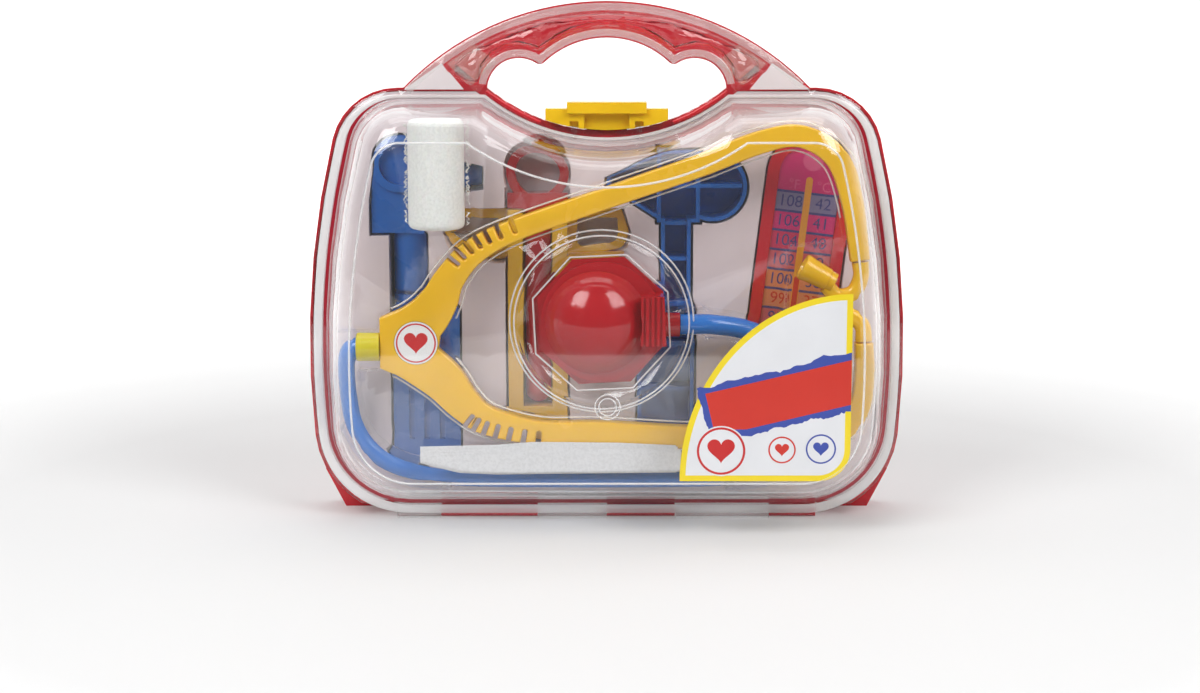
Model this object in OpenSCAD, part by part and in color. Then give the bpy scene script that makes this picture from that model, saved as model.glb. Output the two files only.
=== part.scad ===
// Toy doctor case: a clear lid and a red base hinged along the foot, a clip on top, and the toys inside.
// Frame: X across, Y away from the viewer, Z up, floor at z = 0. Lid and base meet on the plane y = part_y.
// Outlines are drawn as (x, z). A height h is measured from the parting plane, forwards for the lid
// and backwards for the base.

/* [Case] */
// Width across the base rim
case_w = 269.8; // [269:0.2:310]
// Height of the shoulders
shoulder_z = 196; // [195:0.5:220]
// Depth of the lid
lid_depth = 45.8; // [45.8:0.2:60]
// Depth of the base
base_depth = 34; // [33:0.5:50]
// Wall of both shells
wall = 1.8; // [1.4:0.1:2.2]
// Thickness of the rim flanges
flange_t = 3; // [2.6:0.1:4]
// Radius of the bottom corners at the rim
corner_r = 42; // [38:1:50]
// Radius of the shoulders at the rim
shoulder_r = 30; // [26:1:36]
// Radius of the long side curve
side_r = 400; // [350:5:600]
// Height at which the sides are widest
widest_z = 75; // [65:1:85]
// Depth of the dip under the hand
dip_depth = 19; // [16:0.5:22]
// Radius of the dip under the hand
dip_r = 83.4; // [75:0.2:95]

/* [Handle] */
// Rise of the handle over the shoulders
handle_rise = 38.2; // [36:0.2:46]
// Radius of the outer arc of the handle
handle_r = 126.7; // [120:0.1:140]
// Height of the raised grip over the parting plane
grip_h = 13; // [8:0.5:16]
// Thickness of the handle bar at its middle
bar_w = 16; // [14:0.5:18]
// Radius of the middle finger lobe
lobe_r = 40.8; // [38:0.2:46]
// Radius of the side finger lobes
side_lobe_r = 14.2; // [13:0.1:15]

/* [Hinge and clip] */
// Radius of the hinge knuckles
knuckle_r = 3; // [2.6:0.1:3.6]
// Radius of the moulded hinge pins
pin_r = 1.5; // [1.1:0.05:1.7]
// Length of a hinge pin
pin_l = 4; // [3:0.5:6]
// Running clearance round a pin
pin_gap = 0.08; // [0.04:0.01:0.1]
// Gap between moving parts
gap = 0.3; // [0.2:0.05:0.4]
// Width of the clip
clip_w = 54.6; // [50:0.2:58]
// Height of the clip over the dip
clip_h = 10; // [9:0.5:12]

/* [Toys] */
// Thickness of the formed tray and insert
sheet = 0.8; // [0.5:0.1:1]
// Clearance round a toy in its pocket
fit = 1; // [0.6:0.1:1.2]
// Outer radius of the hose
hose_r = 4.5; // [3.6:0.1:4.5]
// Thickness of the headset yoke
yoke_t = 8; // [6:0.5:8]
// Radius of the headset badge
badge_r = 9.6; // [8:0.1:10]
// Radius over the corners of the chest piece
chest_r = 30.5; // [28:0.5:31]
// Radius of the dome on the chest piece
dome_r = 23; // [20:0.5:24]
// Radius of the gauze roll
roll_r = 13.2; // [11:0.1:13.2]
// Length of the gauze roll
roll_l = 50; // [40:1:50]
// Radius of the syringe barrel
barrel_r = 13.5; // [12:0.5:14]
// Length of the syringe barrel
barrel_l = 96; // [90:1:96]
// Travel of the plunger
plunger_travel = 1.2; // [1:0.1:1.4]
// Width of the thermometer
thermo_w = 39; // [36:0.5:40]
// Thickness of the thermometer
thermo_t = 7; // [5:0.5:8]

/* [Hidden] */
$fn = 48;

part_y = 6;
half = gap / 2;
eps = 0.01;
label_t = 0.2;

// Case outline
bottom_z = 0;
front_in = 0.9;
mouth_in = [9.6, 10, 6.8];
side_cx = case_w / 2 - side_r;
dip_z = shoulder_z - dip_depth;
dip_cz = dip_z + dip_r;
handle_top = shoulder_z + handle_rise;
handle_cz = handle_top - handle_r;
lobe_cz = handle_top - bar_w - lobe_r;
side_lobe_x = 39;
side_lobe_z = shoulder_z - 1;
cusp_r = 3;

// Hinge
hinge_z = knuckle_r;
clear_z = hinge_z + knuckle_r + gap;
skirt_t = 1.6;
skirt_y = knuckle_r + gap;
knuckle_x = [-96, -76, -31.5, 0, 31.5, 74.5, 96];
trim_x = 113;

// Clip
clip_pivot_y = 4.2;
clip_pivot_z = dip_z + 5.5;
clip_front_y = -5.8;
clip_boss_r = 3.2;
clip_boss_x = 16;
clip_pin_r = 1.5;
clip_pin_l = 4;
lug_x = 9;
hook_x = 14.5;

// Profiles of the shells: side inset, bottom inset, top inset, height
lid_profile = [
  [7.6, 8.0, 4.8, 0.6], [7.6, 8.0, 4.8, flange_t], [8.3, 8.9, 5.2, flange_t + 1.6],
  [9.4, 10.2, 5.8, 10], [12.2, 13.6, 7.4, 0.52 * lid_depth], [14.6, 16.9, 8.8, 0.74 * lid_depth],
  [17.0, 19.4, 10.8, 0.87 * lid_depth], [19.8, 22.2, 14.6, 0.95 * lid_depth],
  [22.2, 25.0, 20.4, lid_depth - 0.7], [23.0, 25.8, 21.2, lid_depth]
];
base_profile = [
  [7.6, 8.0, 4.8, 1.6], [7.6, 8.0, 4.8, flange_t + 0.2], [8.3, 8.9, 5.4, flange_t + 1.8],
  [9.2, 9.8, 6.2, 10], [11.6, 12.4, 7.6, 0.7 * base_depth], [13.2, 14.4, 9.4, 0.83 * base_depth],
  [16.4, 18.2, 13.4, 0.95 * base_depth], [21.0, 23.6, 19.0, base_depth]
];

// Depths of the toys, from the parting plane
tray_h = 1.05;
seat_in = 1.4;
seat_dip = 3;
tool_h = 1.4;
insert_h = 18;
yoke_h = 14;
hose_h = 8.5;
socket_x = 32.6;
socket_z = 91.6;
socket_h = 14.3;
socket_r = 5.6;
plateau_h = 22;
plateau_r = 38.5;
chest_h = 9;
chest_c = [-2.3, 93.4];
chest_turn = 25.4;
roll_c = [-74.8, 159.5];
roll_h = 19;
leaflet_h = yoke_h + yoke_t + 0.3;

// Outline, inset by s at the sides, b at the bottom and t at the top; d pulls the dip down further
function ring(s, b, t, d = 0) =
  let (
    rb = corner_r - 0.7 * s,
    rs = shoulder_r - 0.75 * s,
    zb = bottom_z + b + rb,
    zs = shoulder_z - t - rs,
    xb = side_cx + sqrt(pow(side_r - s - rb, 2) - pow(zb - widest_z, 2)),
    xs = side_cx + sqrt(pow(side_r - s - rs, 2) - pow(zs - widest_z, 2)),
    ab = atan2(zb - widest_z, xb - side_cx),
    as = atan2(zs - widest_z, xs - side_cx),
    rt = dip_r + t + d,
    zv = shoulder_z - t,
    xv = sqrt(rt * rt - pow(dip_cz - zv, 2)),
    av = atan2(zv - dip_cz, xv),
    right = concat(
      arc([xb, zb], rb, -90, ab, 8),
      arc([side_cx, widest_z], side_r - s, ab, as, 5),
      arc([xs, zs], rs, as, 90, 7),
      [[xs, zv]],
      arc([0, dip_cz], rt, av, -90, 7)
    )
  )
  concat(right, [[0, dip_cz - rt]], [for (i = [len(right) - 1:-1:0]) [-right[i][0], right[i][1]]]);

// Points on an arc from angle a0 up to, but not at, angle a1
function arc(c, r, a0, a1, n) =
  [for (i = [0:n - 1]) let (a = a0 + (a1 - a0) * i / n) [c[0] + r * cos(a), c[1] + r * sin(a)]];

// One solid through a list of [ring, height]
module stack(levels) {
  n = len(levels[0][0]);
  m = len(levels);
  points = [for (l = levels) for (p = l[0]) [p[0], p[1], l[1]]];
  sides = [for (k = [0:m - 2]) for (i = [0:n - 1])
    let (j = (i + 1) % n, a = k * n + i, b = k * n + j, c = b + n, d = a + n)
    each [[a, d, c], [a, c, b]]];
  polyhedron(points, concat(
    [[for (i = [0:n - 1]) i]], sides, [[for (i = [n - 1:-1:0]) (m - 1) * n + i]]), convexity = 10);
}

// Shell between an outer profile and the same profile drawn in by the wall
function level(p, inset, drop) = [ring(p[0] + inset, p[1] + inset, p[2] + inset), p[3] - drop];
module skin(profile) {
  last = len(profile) - 1;
  inner = [for (i = [last:-1:0]) level(profile[i], wall, i > 1 ? wall : 0)];
  outer = [for (p = profile) level(p, 0, 0)];
  stack(concat(inner, outer));
}

// Place a drawing on the lid side or on the base side
module on_lid() { translate([0, part_y, 0]) rotate([90, 0, 0]) children(); }
module on_base() { translate([0, part_y, 0]) mirror([0, 1, 0]) rotate([90, 0, 0]) children(); }
module slab(h0, h1) { translate([0, 0, h0]) linear_extrude(h1 - h0) children(); }

// Outline of the hand hole: three finger lobes over the dip, with rounded cusps between them
lobe_c = [0, lobe_cz];
cusp_c = cross_left(lobe_c, lobe_r + cusp_r, [side_lobe_x, side_lobe_z], side_lobe_r + cusp_r);
// Upper place where two circles cross
function cross_left(c0, r0, c1, r1) =
  let (
    dx = c1[0] - c0[0], dz = c1[1] - c0[1], d = sqrt(dx * dx + dz * dz),
    a = (r0 * r0 - r1 * r1 + d * d) / (2 * d), h = sqrt(r0 * r0 - a * a)
  )
  [c0[0] + (a * dx - h * dz) / d, c0[1] + (a * dz + h * dx) / d];
function toward(p, q, r) = let (d = norm(q - p)) p + (q - p) * r / d;
module hand_hole() {
  intersection() {
    translate([0, dip_cz]) circle(dip_r, $fn = 160);
    union() {
      translate(lobe_c) circle(lobe_r, $fn = 96);
      for (s = [-1, 1]) translate([s * side_lobe_x, side_lobe_z]) circle(side_lobe_r);
      for (s = [0, 1]) mirror([s, 0]) difference() {
        polygon([toward(lobe_c, cusp_c, lobe_r), cusp_c,
          toward([side_lobe_x, side_lobe_z], cusp_c, side_lobe_r), [side_lobe_x, side_lobe_z], lobe_c]);
        translate(cusp_c) circle(cusp_r, $fn = 32);
      }
    }
  }
}

// Flat outline of a rim flange with the handle, less the mouth of the shell
module rim_plate(inset) {
  difference() {
    union() {
      polygon(ring(inset, inset, inset));
      intersection() {
        translate([0, handle_cz]) circle(handle_r - inset, $fn = 200);
        translate([-case_w / 2, shoulder_z - 30]) square([case_w, handle_rise + 40]);
      }
    }
    hand_hole();
    polygon(ring(mouth_in[0], mouth_in[1], mouth_in[2]));
    grip_mouth();
  }
}

// Raised grip: lower edge and upper edge over x, drawn in by the flange
grip_in = 4.5;
grip_end = 72;
grip_foot = side_lobe_x + side_lobe_r + grip_in;
function over_lobe(x) = lobe_cz + sqrt(max(0, pow(lobe_r + grip_in, 2) - x * x));
function over_side(x) = side_lobe_z + sqrt(max(0, pow(side_lobe_r + grip_in, 2) - pow(abs(x) - side_lobe_x, 2)));
function grip_low(x) = abs(x) < grip_foot
  ? max(abs(x) < lobe_r ? over_lobe(x) : 0, abs(x) > side_lobe_x - side_lobe_r ? over_side(x) : 0)
  : side_lobe_z - 0.5 + (abs(x) - grip_foot) * 0.64;
function grip_high(x) = handle_cz + sqrt(pow(handle_r - grip_in, 2) - x * x);
grip_half = [0, 8, 16, 23, 27, 30.2, 34, 39, 45, 51, 55.5, 57.6, 62, 67, grip_end];
grip_x = concat([for (i = [len(grip_half) - 1:-1:1]) -grip_half[i]], grip_half);
function grip_w(x) = grip_high(x) - grip_low(x);
function lean(x) = min(1.6, grip_w(x) / 5);
function rise(x) = abs(x) > 60 ? grip_h - (abs(x) - 60) * 0.55 : grip_h;
// Solid bar under the grip's skin, drawn in by c and sunk to height f
function grip_section(x, c, f) =
  let (a = grip_low(x) + c, b = grip_high(x) - c, l = lean(x))
  [[a, f], [a + l, rise(x) - c], [b - l, rise(x) - c], [b, f]];
module grip_bar(c, f, trim) {
  xs = [for (x = grip_x) if (abs(x) <= grip_end - trim) x];
  rings = [for (x = xs) grip_section(x, c, f)];
  points = [for (i = [0:len(xs) - 1]) for (p = rings[i]) [xs[i], p[0], p[1]]];
  sides = [for (k = [0:len(xs) - 2]) for (i = [0:3])
    let (j = (i + 1) % 4, a = 4 * k + i, b = 4 * k + j, c = b + 4, d = a + 4)
    each [[a, c, d], [a, b, c]]];
  last = 4 * (len(xs) - 1);
  polyhedron(points, concat([[3, 2, 1, 0]], sides, [[last, last + 1, last + 2, last + 3]]));
}
module grip_mouth() {
  xs = [for (x = grip_x) if (abs(x) <= grip_end - 4) x];
  polygon(concat(
    [for (x = xs) [x, grip_low(x) + wall]],
    [for (i = [len(xs) - 1:-1:0]) [xs[i], grip_high(xs[i]) - wall]]));
}
module grip_skin() {
  difference() {
    grip_bar(0, 0.6, 0);
    grip_bar(wall, 0.6 - 1, 4);
  }
}

// Hinge pieces along the foot, at the parting plane
module along_x(x0, x1, r) { translate([x0, part_y, hinge_z]) rotate([0, 90, 0]) cylinder(r = r, h = x1 - x0); }
module block(x0, x1, y0, y1, z0, z1) {
  translate([x0, part_y + y0, z0]) cube([x1 - x0, y1 - y0, z1 - z0]);
}
module lid_knuckles() {
  for (i = [0, 2, 4]) {
    x0 = knuckle_x[i] + half;
    x1 = knuckle_x[i + 1] - half;
    difference() {
      union() {
        along_x(x0, x1, knuckle_r);
        block(x0, x1, -skirt_y - skirt_t, -half, 0, hinge_z);
        block(x0, x1, -skirt_y - skirt_t, -half, hinge_z - eps, clear_z + 2);
      }
      for (x = [x0, x1 - pin_l - 0.5]) along_x(x - eps, x + pin_l + 0.5 + eps, pin_r + pin_gap);
    }
  }
}
module lid_skirt() {
  x0 = knuckle_x[0] + half;
  x1 = knuckle_x[6] - half;
  block(x0, x1, -skirt_y - skirt_t, -skirt_y, 1.4, clear_z + 3);
  block(x0, x1, -skirt_y - skirt_t, -half, clear_z, clear_z + 3);
}
module base_knuckles() {
  for (i = [1, 3, 5]) {
    x0 = knuckle_x[i] + half;
    x1 = knuckle_x[i + 1] - half;
    along_x(x0, x1, knuckle_r);
    block(x0, x1, half, flange_t + 0.2, hinge_z, clear_z + 1);
    along_x(x0 - pin_l, x0 + eps, pin_r);
    if (i < 5) along_x(x1 - eps, x1 + pin_l, pin_r);
  }
}
module hinge_trim(y0, y1) { block(-trim_x, trim_x, y0, y1, -1, clear_z); }

// Clear lid
module front_shell() {
  color([0.92, 0.93, 0.95, 0.35]) {
    difference() {
      on_lid() {
        slab(half, flange_t) rim_plate(front_in);
        skin(lid_profile);
        grip_skin();
      }
      hinge_trim(-flange_t - 1, 1);
    }
    lid_skirt();
    lid_knuckles();
    // Catch hooks under the clip
    for (s = [-1, 1]) {
      block(s * hook_x - 1.25, s * hook_x + 1.25, clip_front_y + 0.2, -flange_t + 0.5, dip_z - 3.4, dip_z - 0.4);
      block(s * hook_x - 1.25, s * hook_x + 1.25, clip_front_y + 0.2, clip_front_y + 1.2, dip_z - 3.4, dip_z + 2.4);
    }
    // Tongue at the top of the handle
    block(-13, 6, -flange_t - 1.2, -flange_t + 0.2, handle_top - 4, handle_top - 1.4);
  }
}

// Red base with its feet and the lug that carries the clip
foot_h0 = 19;
foot_h1 = 31;
module foot_outline() {
  polygon([[100, bottom_z], [122, bottom_z], [131.2, 18], [127, 30], [100, 30], [90, 20]]);
}
module back_shell() {
  color("crimson") {
    difference() {
      union() {
        difference() {
          on_base() slab(half, flange_t + 0.2) rim_plate(0);
          on_base() slab(0, tray_h + 0.15) polygon(ring(seat_in, seat_in, seat_in, seat_dip));
        }
        on_base() {
          skin(base_profile);
          grip_skin();
        }
      }
      hinge_trim(-1, flange_t + 1);
    }
    base_knuckles();
    difference() {
      for (s = [0, 1]) mirror([s, 0, 0]) on_base() slab(foot_h0, foot_h1) foot_outline();
      on_base() stack([for (i = [2:len(base_profile) - 1]) level(base_profile[i], wall / 2, wall / 2)]);
    }
    clip_lug();
  }
}
module across(x0, x1, r) {
  translate([x0, part_y + clip_pivot_y, clip_pivot_z]) rotate([0, 90, 0]) cylinder(r = r, h = x1 - x0);
}
module clip_lug() {
  across(-lug_x, lug_x, clip_boss_r - 0.2);
  block(-lug_x, lug_x, 1.4, clip_pivot_y + clip_boss_r - 0.2, dip_z - 5.2, clip_pivot_z);
  across(-lug_x - clip_pin_l, lug_x + clip_pin_l, clip_pin_r);
}

// Yellow clip over both rims
module latch() {
  top_z = dip_z + clip_h;
  color("gold") difference() {
    intersection() {
      union() {
        block(-clip_w / 2, clip_w / 2, clip_front_y, clip_pivot_y, dip_z, top_z);
        block(-17.7, 17.7, clip_front_y - 2.2, clip_pivot_y - 2, top_z - 2, top_z + 3);
        for (s = [0, 1]) mirror([s, 0, 0]) {
          across(lug_x + gap, clip_boss_x, clip_boss_r);
          block(lug_x + gap, clip_boss_x, 0, clip_pivot_y, clip_pivot_z - 1, top_z);
        }
      }
      translate([0, part_y, dip_cz]) rotate([90, 0, 0])
        cylinder(r = dip_r - gap - 0.1, h = 40, center = true, $fn = 160);
    }
    // Room for the lug
    block(-lug_x - gap, lug_x + gap, 0.6, 10, dip_z - 1, clip_pivot_z + clip_boss_r + 0.4);
    // Finger recess between two ribs
    block(-10, 10, clip_front_y - 0.1, clip_front_y + 3, dip_z - 1, top_z - 1);
    for (s = [0, 1]) mirror([s, 0, 0]) {
      across(lug_x - 1, lug_x + gap + clip_pin_l + 0.6, clip_pin_r + pin_gap);
      // Notch round a catch hook
      block(hook_x - 1.9, hook_x + 1.9, clip_front_y - 0.1, -2.4, dip_z - 1, dip_z + 4.4);
      // Hollow behind the wings
      block(clip_boss_x + 2, clip_w / 2 - 1.6, -2.6, clip_pivot_y + 1, dip_z + 2, top_z - 1.6);
    }
  }
}

// Toy outlines, each grown by e
otoscope_c = [-93, 162];
syringe_x = -31.2;
syringe_top = 141;
thumb_c = [syringe_x, 157.4];
thumb_r = 14.2;
thermo_c = [91.6, 156.8];
thermo_turn = 6.7;
thermo_l = 128;
module bar(x0, x1, z0, z1, e = 0) { translate([x0 - e, z0 - e]) square([x1 - x0 + 2 * e, z1 - z0 + 2 * e]); }
module disc(c, r, e = 0) { translate(c) circle(r + e); }

module otoscope_outline(e = 0) {
  disc(otoscope_c, 13, e);
  bar(-93, -66, 149.5, 174.6, e);
  bar(-106, -82, 130.5, 162, e);
  polygon([[-67, 149 - e], [-56.4 + e, 151.5 - e], [-56.4 + e, 160 + e], [-67, 162.5 + e]]);
  bar(-97.2, -81.4, 98, 131, e);
  hull() for (x = [-93.5, -70.5]) for (z = [32, 95]) disc([x, z], 3.8, e);
}
module plunger_outline(e = 0) {
  disc(thumb_c, thumb_r, e);
  bar(syringe_x - 13.8, syringe_x + 13.8, syringe_top - 1, syringe_top + 7.6, e);
}
module syringe_outline(e = 0) {
  plunger_outline(e);
  bar(syringe_x - barrel_r, syringe_x + barrel_r, syringe_top - barrel_l, syringe_top, e);
  for (s = [-1, 1]) loop_outline(s, e);
  bar(syringe_x - 4.5, syringe_x + 4.5, syringe_top - barrel_l - 12, syringe_top - barrel_l, e);
}
module loop_outline(s, e = 0) {
  translate([syringe_x, 0]) hull() {
    disc([s * 33, 130], 8, e);
    disc([s * 18, 126], 8, e);
    bar(min(s * 12, s * 38), max(s * 12, s * 38), 137, syringe_top, e);
  }
}
module hammer_outline(e = 0) {
  polygon([[-e, 152], [22, 137.5 - e], [24, 137.5 - e], [24, 167.5 + e], [22, 167.5 + e], [-e, 156]]);
  bar(22.6, 42, 135.5, 169, e);
  disc([47.6, 151.6], 15.6, e);
  bar(24.4, 38, 98, 140, e);
  hull() {
    disc([18.5, 95], 4.5, e);
    disc([35.3, 95], 4.5, e);
    disc([18.5, 39], 4.5, e);
    disc([35.3, 39], 4.5, e);
  }
}
module thermo_outline(e = 0) {
  translate(thermo_c) rotate(-thermo_turn) {
    circle(thermo_w / 2 + e);
    bar(-thermo_w / 2, thermo_w / 2, thermo_w / 2 + 5 - thermo_l, 0, e);
    bar(-thermo_w / 2 + 5, thermo_w / 2 - 5, thermo_w / 2 - thermo_l, 0, e);
    for (s = [-1, 1]) disc([s * (thermo_w / 2 - 5), thermo_w / 2 + 5 - thermo_l], 5, e);
  }
}

// Floors of the tray's pockets, behind the parting plane
otoscope_floor = 22;
syringe_floor = 22;
hammer_floor = 20;
thermo_floor = tool_h + thermo_t + 0.3;
plunger_room = plunger_travel + 0.6;
tray_in = [13.6, 14.4, 9.8];

// Pale tray in the base, its edge clamped between the rims
module tray() {
  color([0.86, 0.80, 0.80]) on_base() difference() {
    union() {
      slab(half + 0.1, tray_h) polygon(ring(seat_in + gap, seat_in + gap, seat_in + gap, seat_dip));
      tray_pocket(otoscope_floor) otoscope_outline(fit + sheet);
      tray_pocket(syringe_floor) syringe_pocket(fit + sheet);
      tray_pocket(hammer_floor) hammer_outline(fit + sheet);
      tray_pocket(thermo_floor) thermo_outline(fit + sheet);
    }
    slab(0, otoscope_floor) otoscope_outline(fit);
    slab(0, syringe_floor) syringe_pocket(fit);
    slab(0, hammer_floor) hammer_outline(fit);
    slab(0, thermo_floor) thermo_outline(fit);
    slab(0, 8) bar(-trim_x, trim_x, -1, clear_z + 1.3);
  }
}
module tray_pocket(floor_h) {
  slab(half + 0.1, floor_h + sheet) intersection() {
    children();
    polygon(ring(tray_in[0], tray_in[1], tray_in[2]));
  }
}
module syringe_pocket(e) {
  syringe_outline(e);
  translate([0, plunger_room]) plunger_outline(e);
}

// Blue otoscope: head, cone and handle
module otoscope_head() {
  color("royalblue") on_base() {
    difference() {
      union() {
        slab(tool_h, otoscope_floor - 0.3) {
          disc(otoscope_c, 13);
          bar(-93, -66, 149.5, 174.6);
        }
        slab(tool_h + 1.5, otoscope_floor - 1.5) bar(-106, -82, 130.5, 162);
      }
      // Eyepiece recess
      translate([otoscope_c[0], otoscope_c[1], tool_h - 1]) cylinder(r = 9.5, h = 5);
    }
  }
}
module otoscope_cone() {
  h = (tool_h + otoscope_floor) / 2;
  color("royalblue") translate([-66, part_y + h, 156]) rotate([0, 90, 0]) cylinder(r1 = 6.4, r2 = 4, h = 9.6);
}
module otoscope_handle() {
  h = (tool_h + otoscope_floor) / 2;
  color("royalblue") {
    translate([-89.3, part_y + h, 104]) cylinder(r = 7.6, h = 26.4);
    translate([-89.3, part_y + h, 99.2]) cylinder(r = 7.9, h = 3);
    on_base() difference() {
      slab(tool_h, otoscope_floor - 0.3) hull() for (x = [-93.5, -70.5]) for (z = [32, 95]) disc([x, z], 3.8);
      for (i = [-1:1]) slab(tool_h - 1, tool_h + 1.4) bar(-83.2 + 7 * i, -80.8 + 7 * i, 36, 90);
    }
    on_base() slab(8, 16) bar(-96, -82.6, 97, 106);
  }
}

// Yellow syringe barrel: an open trough with finger loops and a nozzle
rod_r = 6;
module syringe_barrel() {
  h = tool_h + barrel_r - 4;
  z0 = syringe_top - barrel_l;
  color("gold") on_base() difference() {
    union() {
      slab(tool_h, syringe_floor - 0.3) bar(syringe_x - barrel_r, syringe_x + barrel_r, z0, syringe_top);
      for (s = [-1, 1]) slab(h - 1.5, h + 2.5) loop_outline(s);
      translate([syringe_x, z0 + eps, h]) rotate([90, 0, 0]) cylinder(r1 = 4.5, r2 = 2.6, h = 11);
    }
    for (s = [-1, 1]) slab(0, 30) translate([syringe_x, 0]) hull() {
      disc([s * 32, 130], 4.4);
      disc([s * 21, 127], 3.4);
      bar(min(s * 18, s * 36), max(s * 18, s * 36), 133, 136.6);
    }
    // Trough for the plunger
    slab(0, h) bar(syringe_x - rod_r - 0.6, syringe_x + rod_r + 0.6, z0 + 6, syringe_top + 1);
    translate([syringe_x, z0 + 6, h]) rotate([-90, 0, 0]) cylinder(r = rod_r + 0.6, h = barrel_l);
    // Shoulders beside the rails
    for (s = [-1, 1]) slab(syringe_floor - 5, 30)
      translate([syringe_x + s * (barrel_r - 1.5), 0]) bar(-2, 2, z0 - 1, syringe_top + 1);
  }
}
module syringe_plunger() {
  h = tool_h + barrel_r - 4;
  z0 = syringe_top - barrel_l + 6.5;
  color("firebrick") on_base() {
    translate([syringe_x, z0 + rod_r, h]) rotate([-90, 0, 0]) cylinder(r = rod_r, h = syringe_top - z0);
    translate([syringe_x, z0 + rod_r, h]) sphere(r = rod_r);
    slab(h - 6, h + 6) bar(syringe_x - 13.7, syringe_x + 13.7, syringe_top + 0.4, syringe_top + 7.4);
    slab(h - 3, h + 3) difference() {
      disc(thumb_c, thumb_r);
      disc(thumb_c, thumb_r - 4.2);
      bar(syringe_x - 15, syringe_x + 15, syringe_top - 5, syringe_top + 3);
    }
  }
}

// Blue reflex hammer: a hollow moulding, open towards the viewer, with ribs
hammer_wall = 1.8;
module reflex_hammer() {
  color("royalblue") on_base() {
    difference() {
      slab(tool_h, hammer_floor - 0.3) hammer_outline();
      slab(tool_h - 1, hammer_floor - 2.5) hammer_outline(-hammer_wall);
    }
    slab(tool_h + 1, hammer_floor - 2) {
      for (x = [22.6, 40.2]) bar(x, x + hammer_wall, 137, 167);
      bar(5, 61, 151, 151 + hammer_wall);
      for (z = [118, 134.2]) bar(25.5, 37, z, z + hammer_wall);
    }
    slab(tool_h + 3, hammer_floor - 2) for (z = [58, 78]) bar(15, 39, z, z + hammer_wall);
  }
}

// Red thermometer with its printed card
card_t = 0.4;
module thermo_card_outline(e = 0) {
  translate(thermo_c) rotate(-thermo_turn) {
    circle(thermo_w / 2 - 5.6 + e);
    bar(-thermo_w / 2 + 5.6, thermo_w / 2 - 5.6, thermo_w / 2 - thermo_l + 10, 0, e);
  }
}
module thermometer_body() {
  color("crimson") on_base() difference() {
    slab(tool_h, tool_h + thermo_t) thermo_outline();
    slab(tool_h - 1, tool_h + 1.6) thermo_card_outline(0.2);
    slab(tool_h + thermo_t - 2, tool_h + thermo_t + 1) thermo_outline(-3);
  }
}
module thermometer_card() {
  color("hotpink") on_base() slab(tool_h + 1.6 - card_t, tool_h + 1.6) thermo_card_outline();
}

// Smooth curve through control points that may carry a width or a height after x and z
function knot(p, i) = p[min(max(i, 0), len(p) - 1)];
function blend(a, b, c, d, t) =
  0.5 * (2 * b + (c - a) * t + (2 * a - 5 * b + 4 * c - d) * t * t + (3 * b - a - 3 * c + d) * t * t * t);
function curve(p, n) = concat(
  [for (i = [0:len(p) - 2]) for (k = [0:n - 1]) blend(knot(p, i - 1), p[i], p[i + 1], knot(p, i + 2), k / n)],
  [p[len(p) - 1]]);
function heading(c, i) =
  let (a = knot(c, i - 1), b = knot(c, i + 1), d = [b[0] - a[0], b[1] - a[1]]) d / norm(d);
// Point beside a curve of [x, z, width] at place i, s = 1 on its left
function beside(c, i, s, e) =
  let (u = heading(c, i), w = s * (c[i][2] / 2 + e)) [c[i][0] - u[1] * w, c[i][1] + u[0] * w];
// Outline along a curve, grown by e
module ribbon(c, e = 0) {
  n = len(c) - 1;
  polygon(concat([for (i = [0:n]) beside(c, i, 1, e)], [for (i = [n:-1:0]) beside(c, i, -1, e)]));
}
// Rounded bar along a curve of [x, z, width], from height h0 to h1
module arm(c, h0, h1) {
  m = 8;
  k = 0.28;
  t = h1 - h0;
  points = [for (i = [0:len(c) - 1])
    let (u = heading(c, i), w = c[i][2])
    for (q = [[0.5, k], [0.5, 1 - k], [0.5 - k, 1], [k - 0.5, 1], [-0.5, 1 - k], [-0.5, k], [k - 0.5, 0], [0.5 - k, 0]])
      [c[i][0] + u[1] * q[0] * w, c[i][1] - u[0] * q[0] * w, h0 + q[1] * t]];
  sides = [for (r = [0:len(c) - 2]) for (i = [0:m - 1])
    let (j = (i + 1) % m, a = r * m + i, b = r * m + j, d = b + m, f = a + m)
    each [[a, d, f], [a, b, d]]];
  last = m * (len(c) - 1);
  polyhedron(points, concat([[for (i = [m - 1:-1:0]) i]], sides, [[for (i = [0:m - 1]) last + i]]));
}

// Headset yoke: two springy arms from one neck
upper_arm = curve([
  [-101, 84, 22.5], [-90, 88, 22], [-81, 94.5, 20], [-74.5, 103, 17], [-69.5, 113, 13.5], [-59.3, 124.7, 11.6],
  [-40.6, 134.5, 9.6], [-3, 147.7, 9.4], [41, 163.1, 10], [67.2, 173.2, 10], [84.8, 176, 10],
  [100.8, 166.6, 10.4], [108.4, 147, 10], [112.4, 121, 9]
], 4);
lower_arm = curve([
  [-101, 84, 22.5], [-90, 80, 22], [-81, 73.5, 20], [-72.5, 66.5, 18.5], [-63.5, 56, 15], [-53, 48.6, 12.6],
  [-30.3, 43.2, 10.8], [-3, 43, 10.6], [40.4, 41, 10], [88, 41, 10], [105, 44.5, 10], [113.8, 56, 10], [115.4, 70, 9.4],
  [115, 84, 8.6]
], 4);
slot_w = 2.3;
slot_l = 6.4;
slot_first = 18;
badge_t = 0.8;
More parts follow.
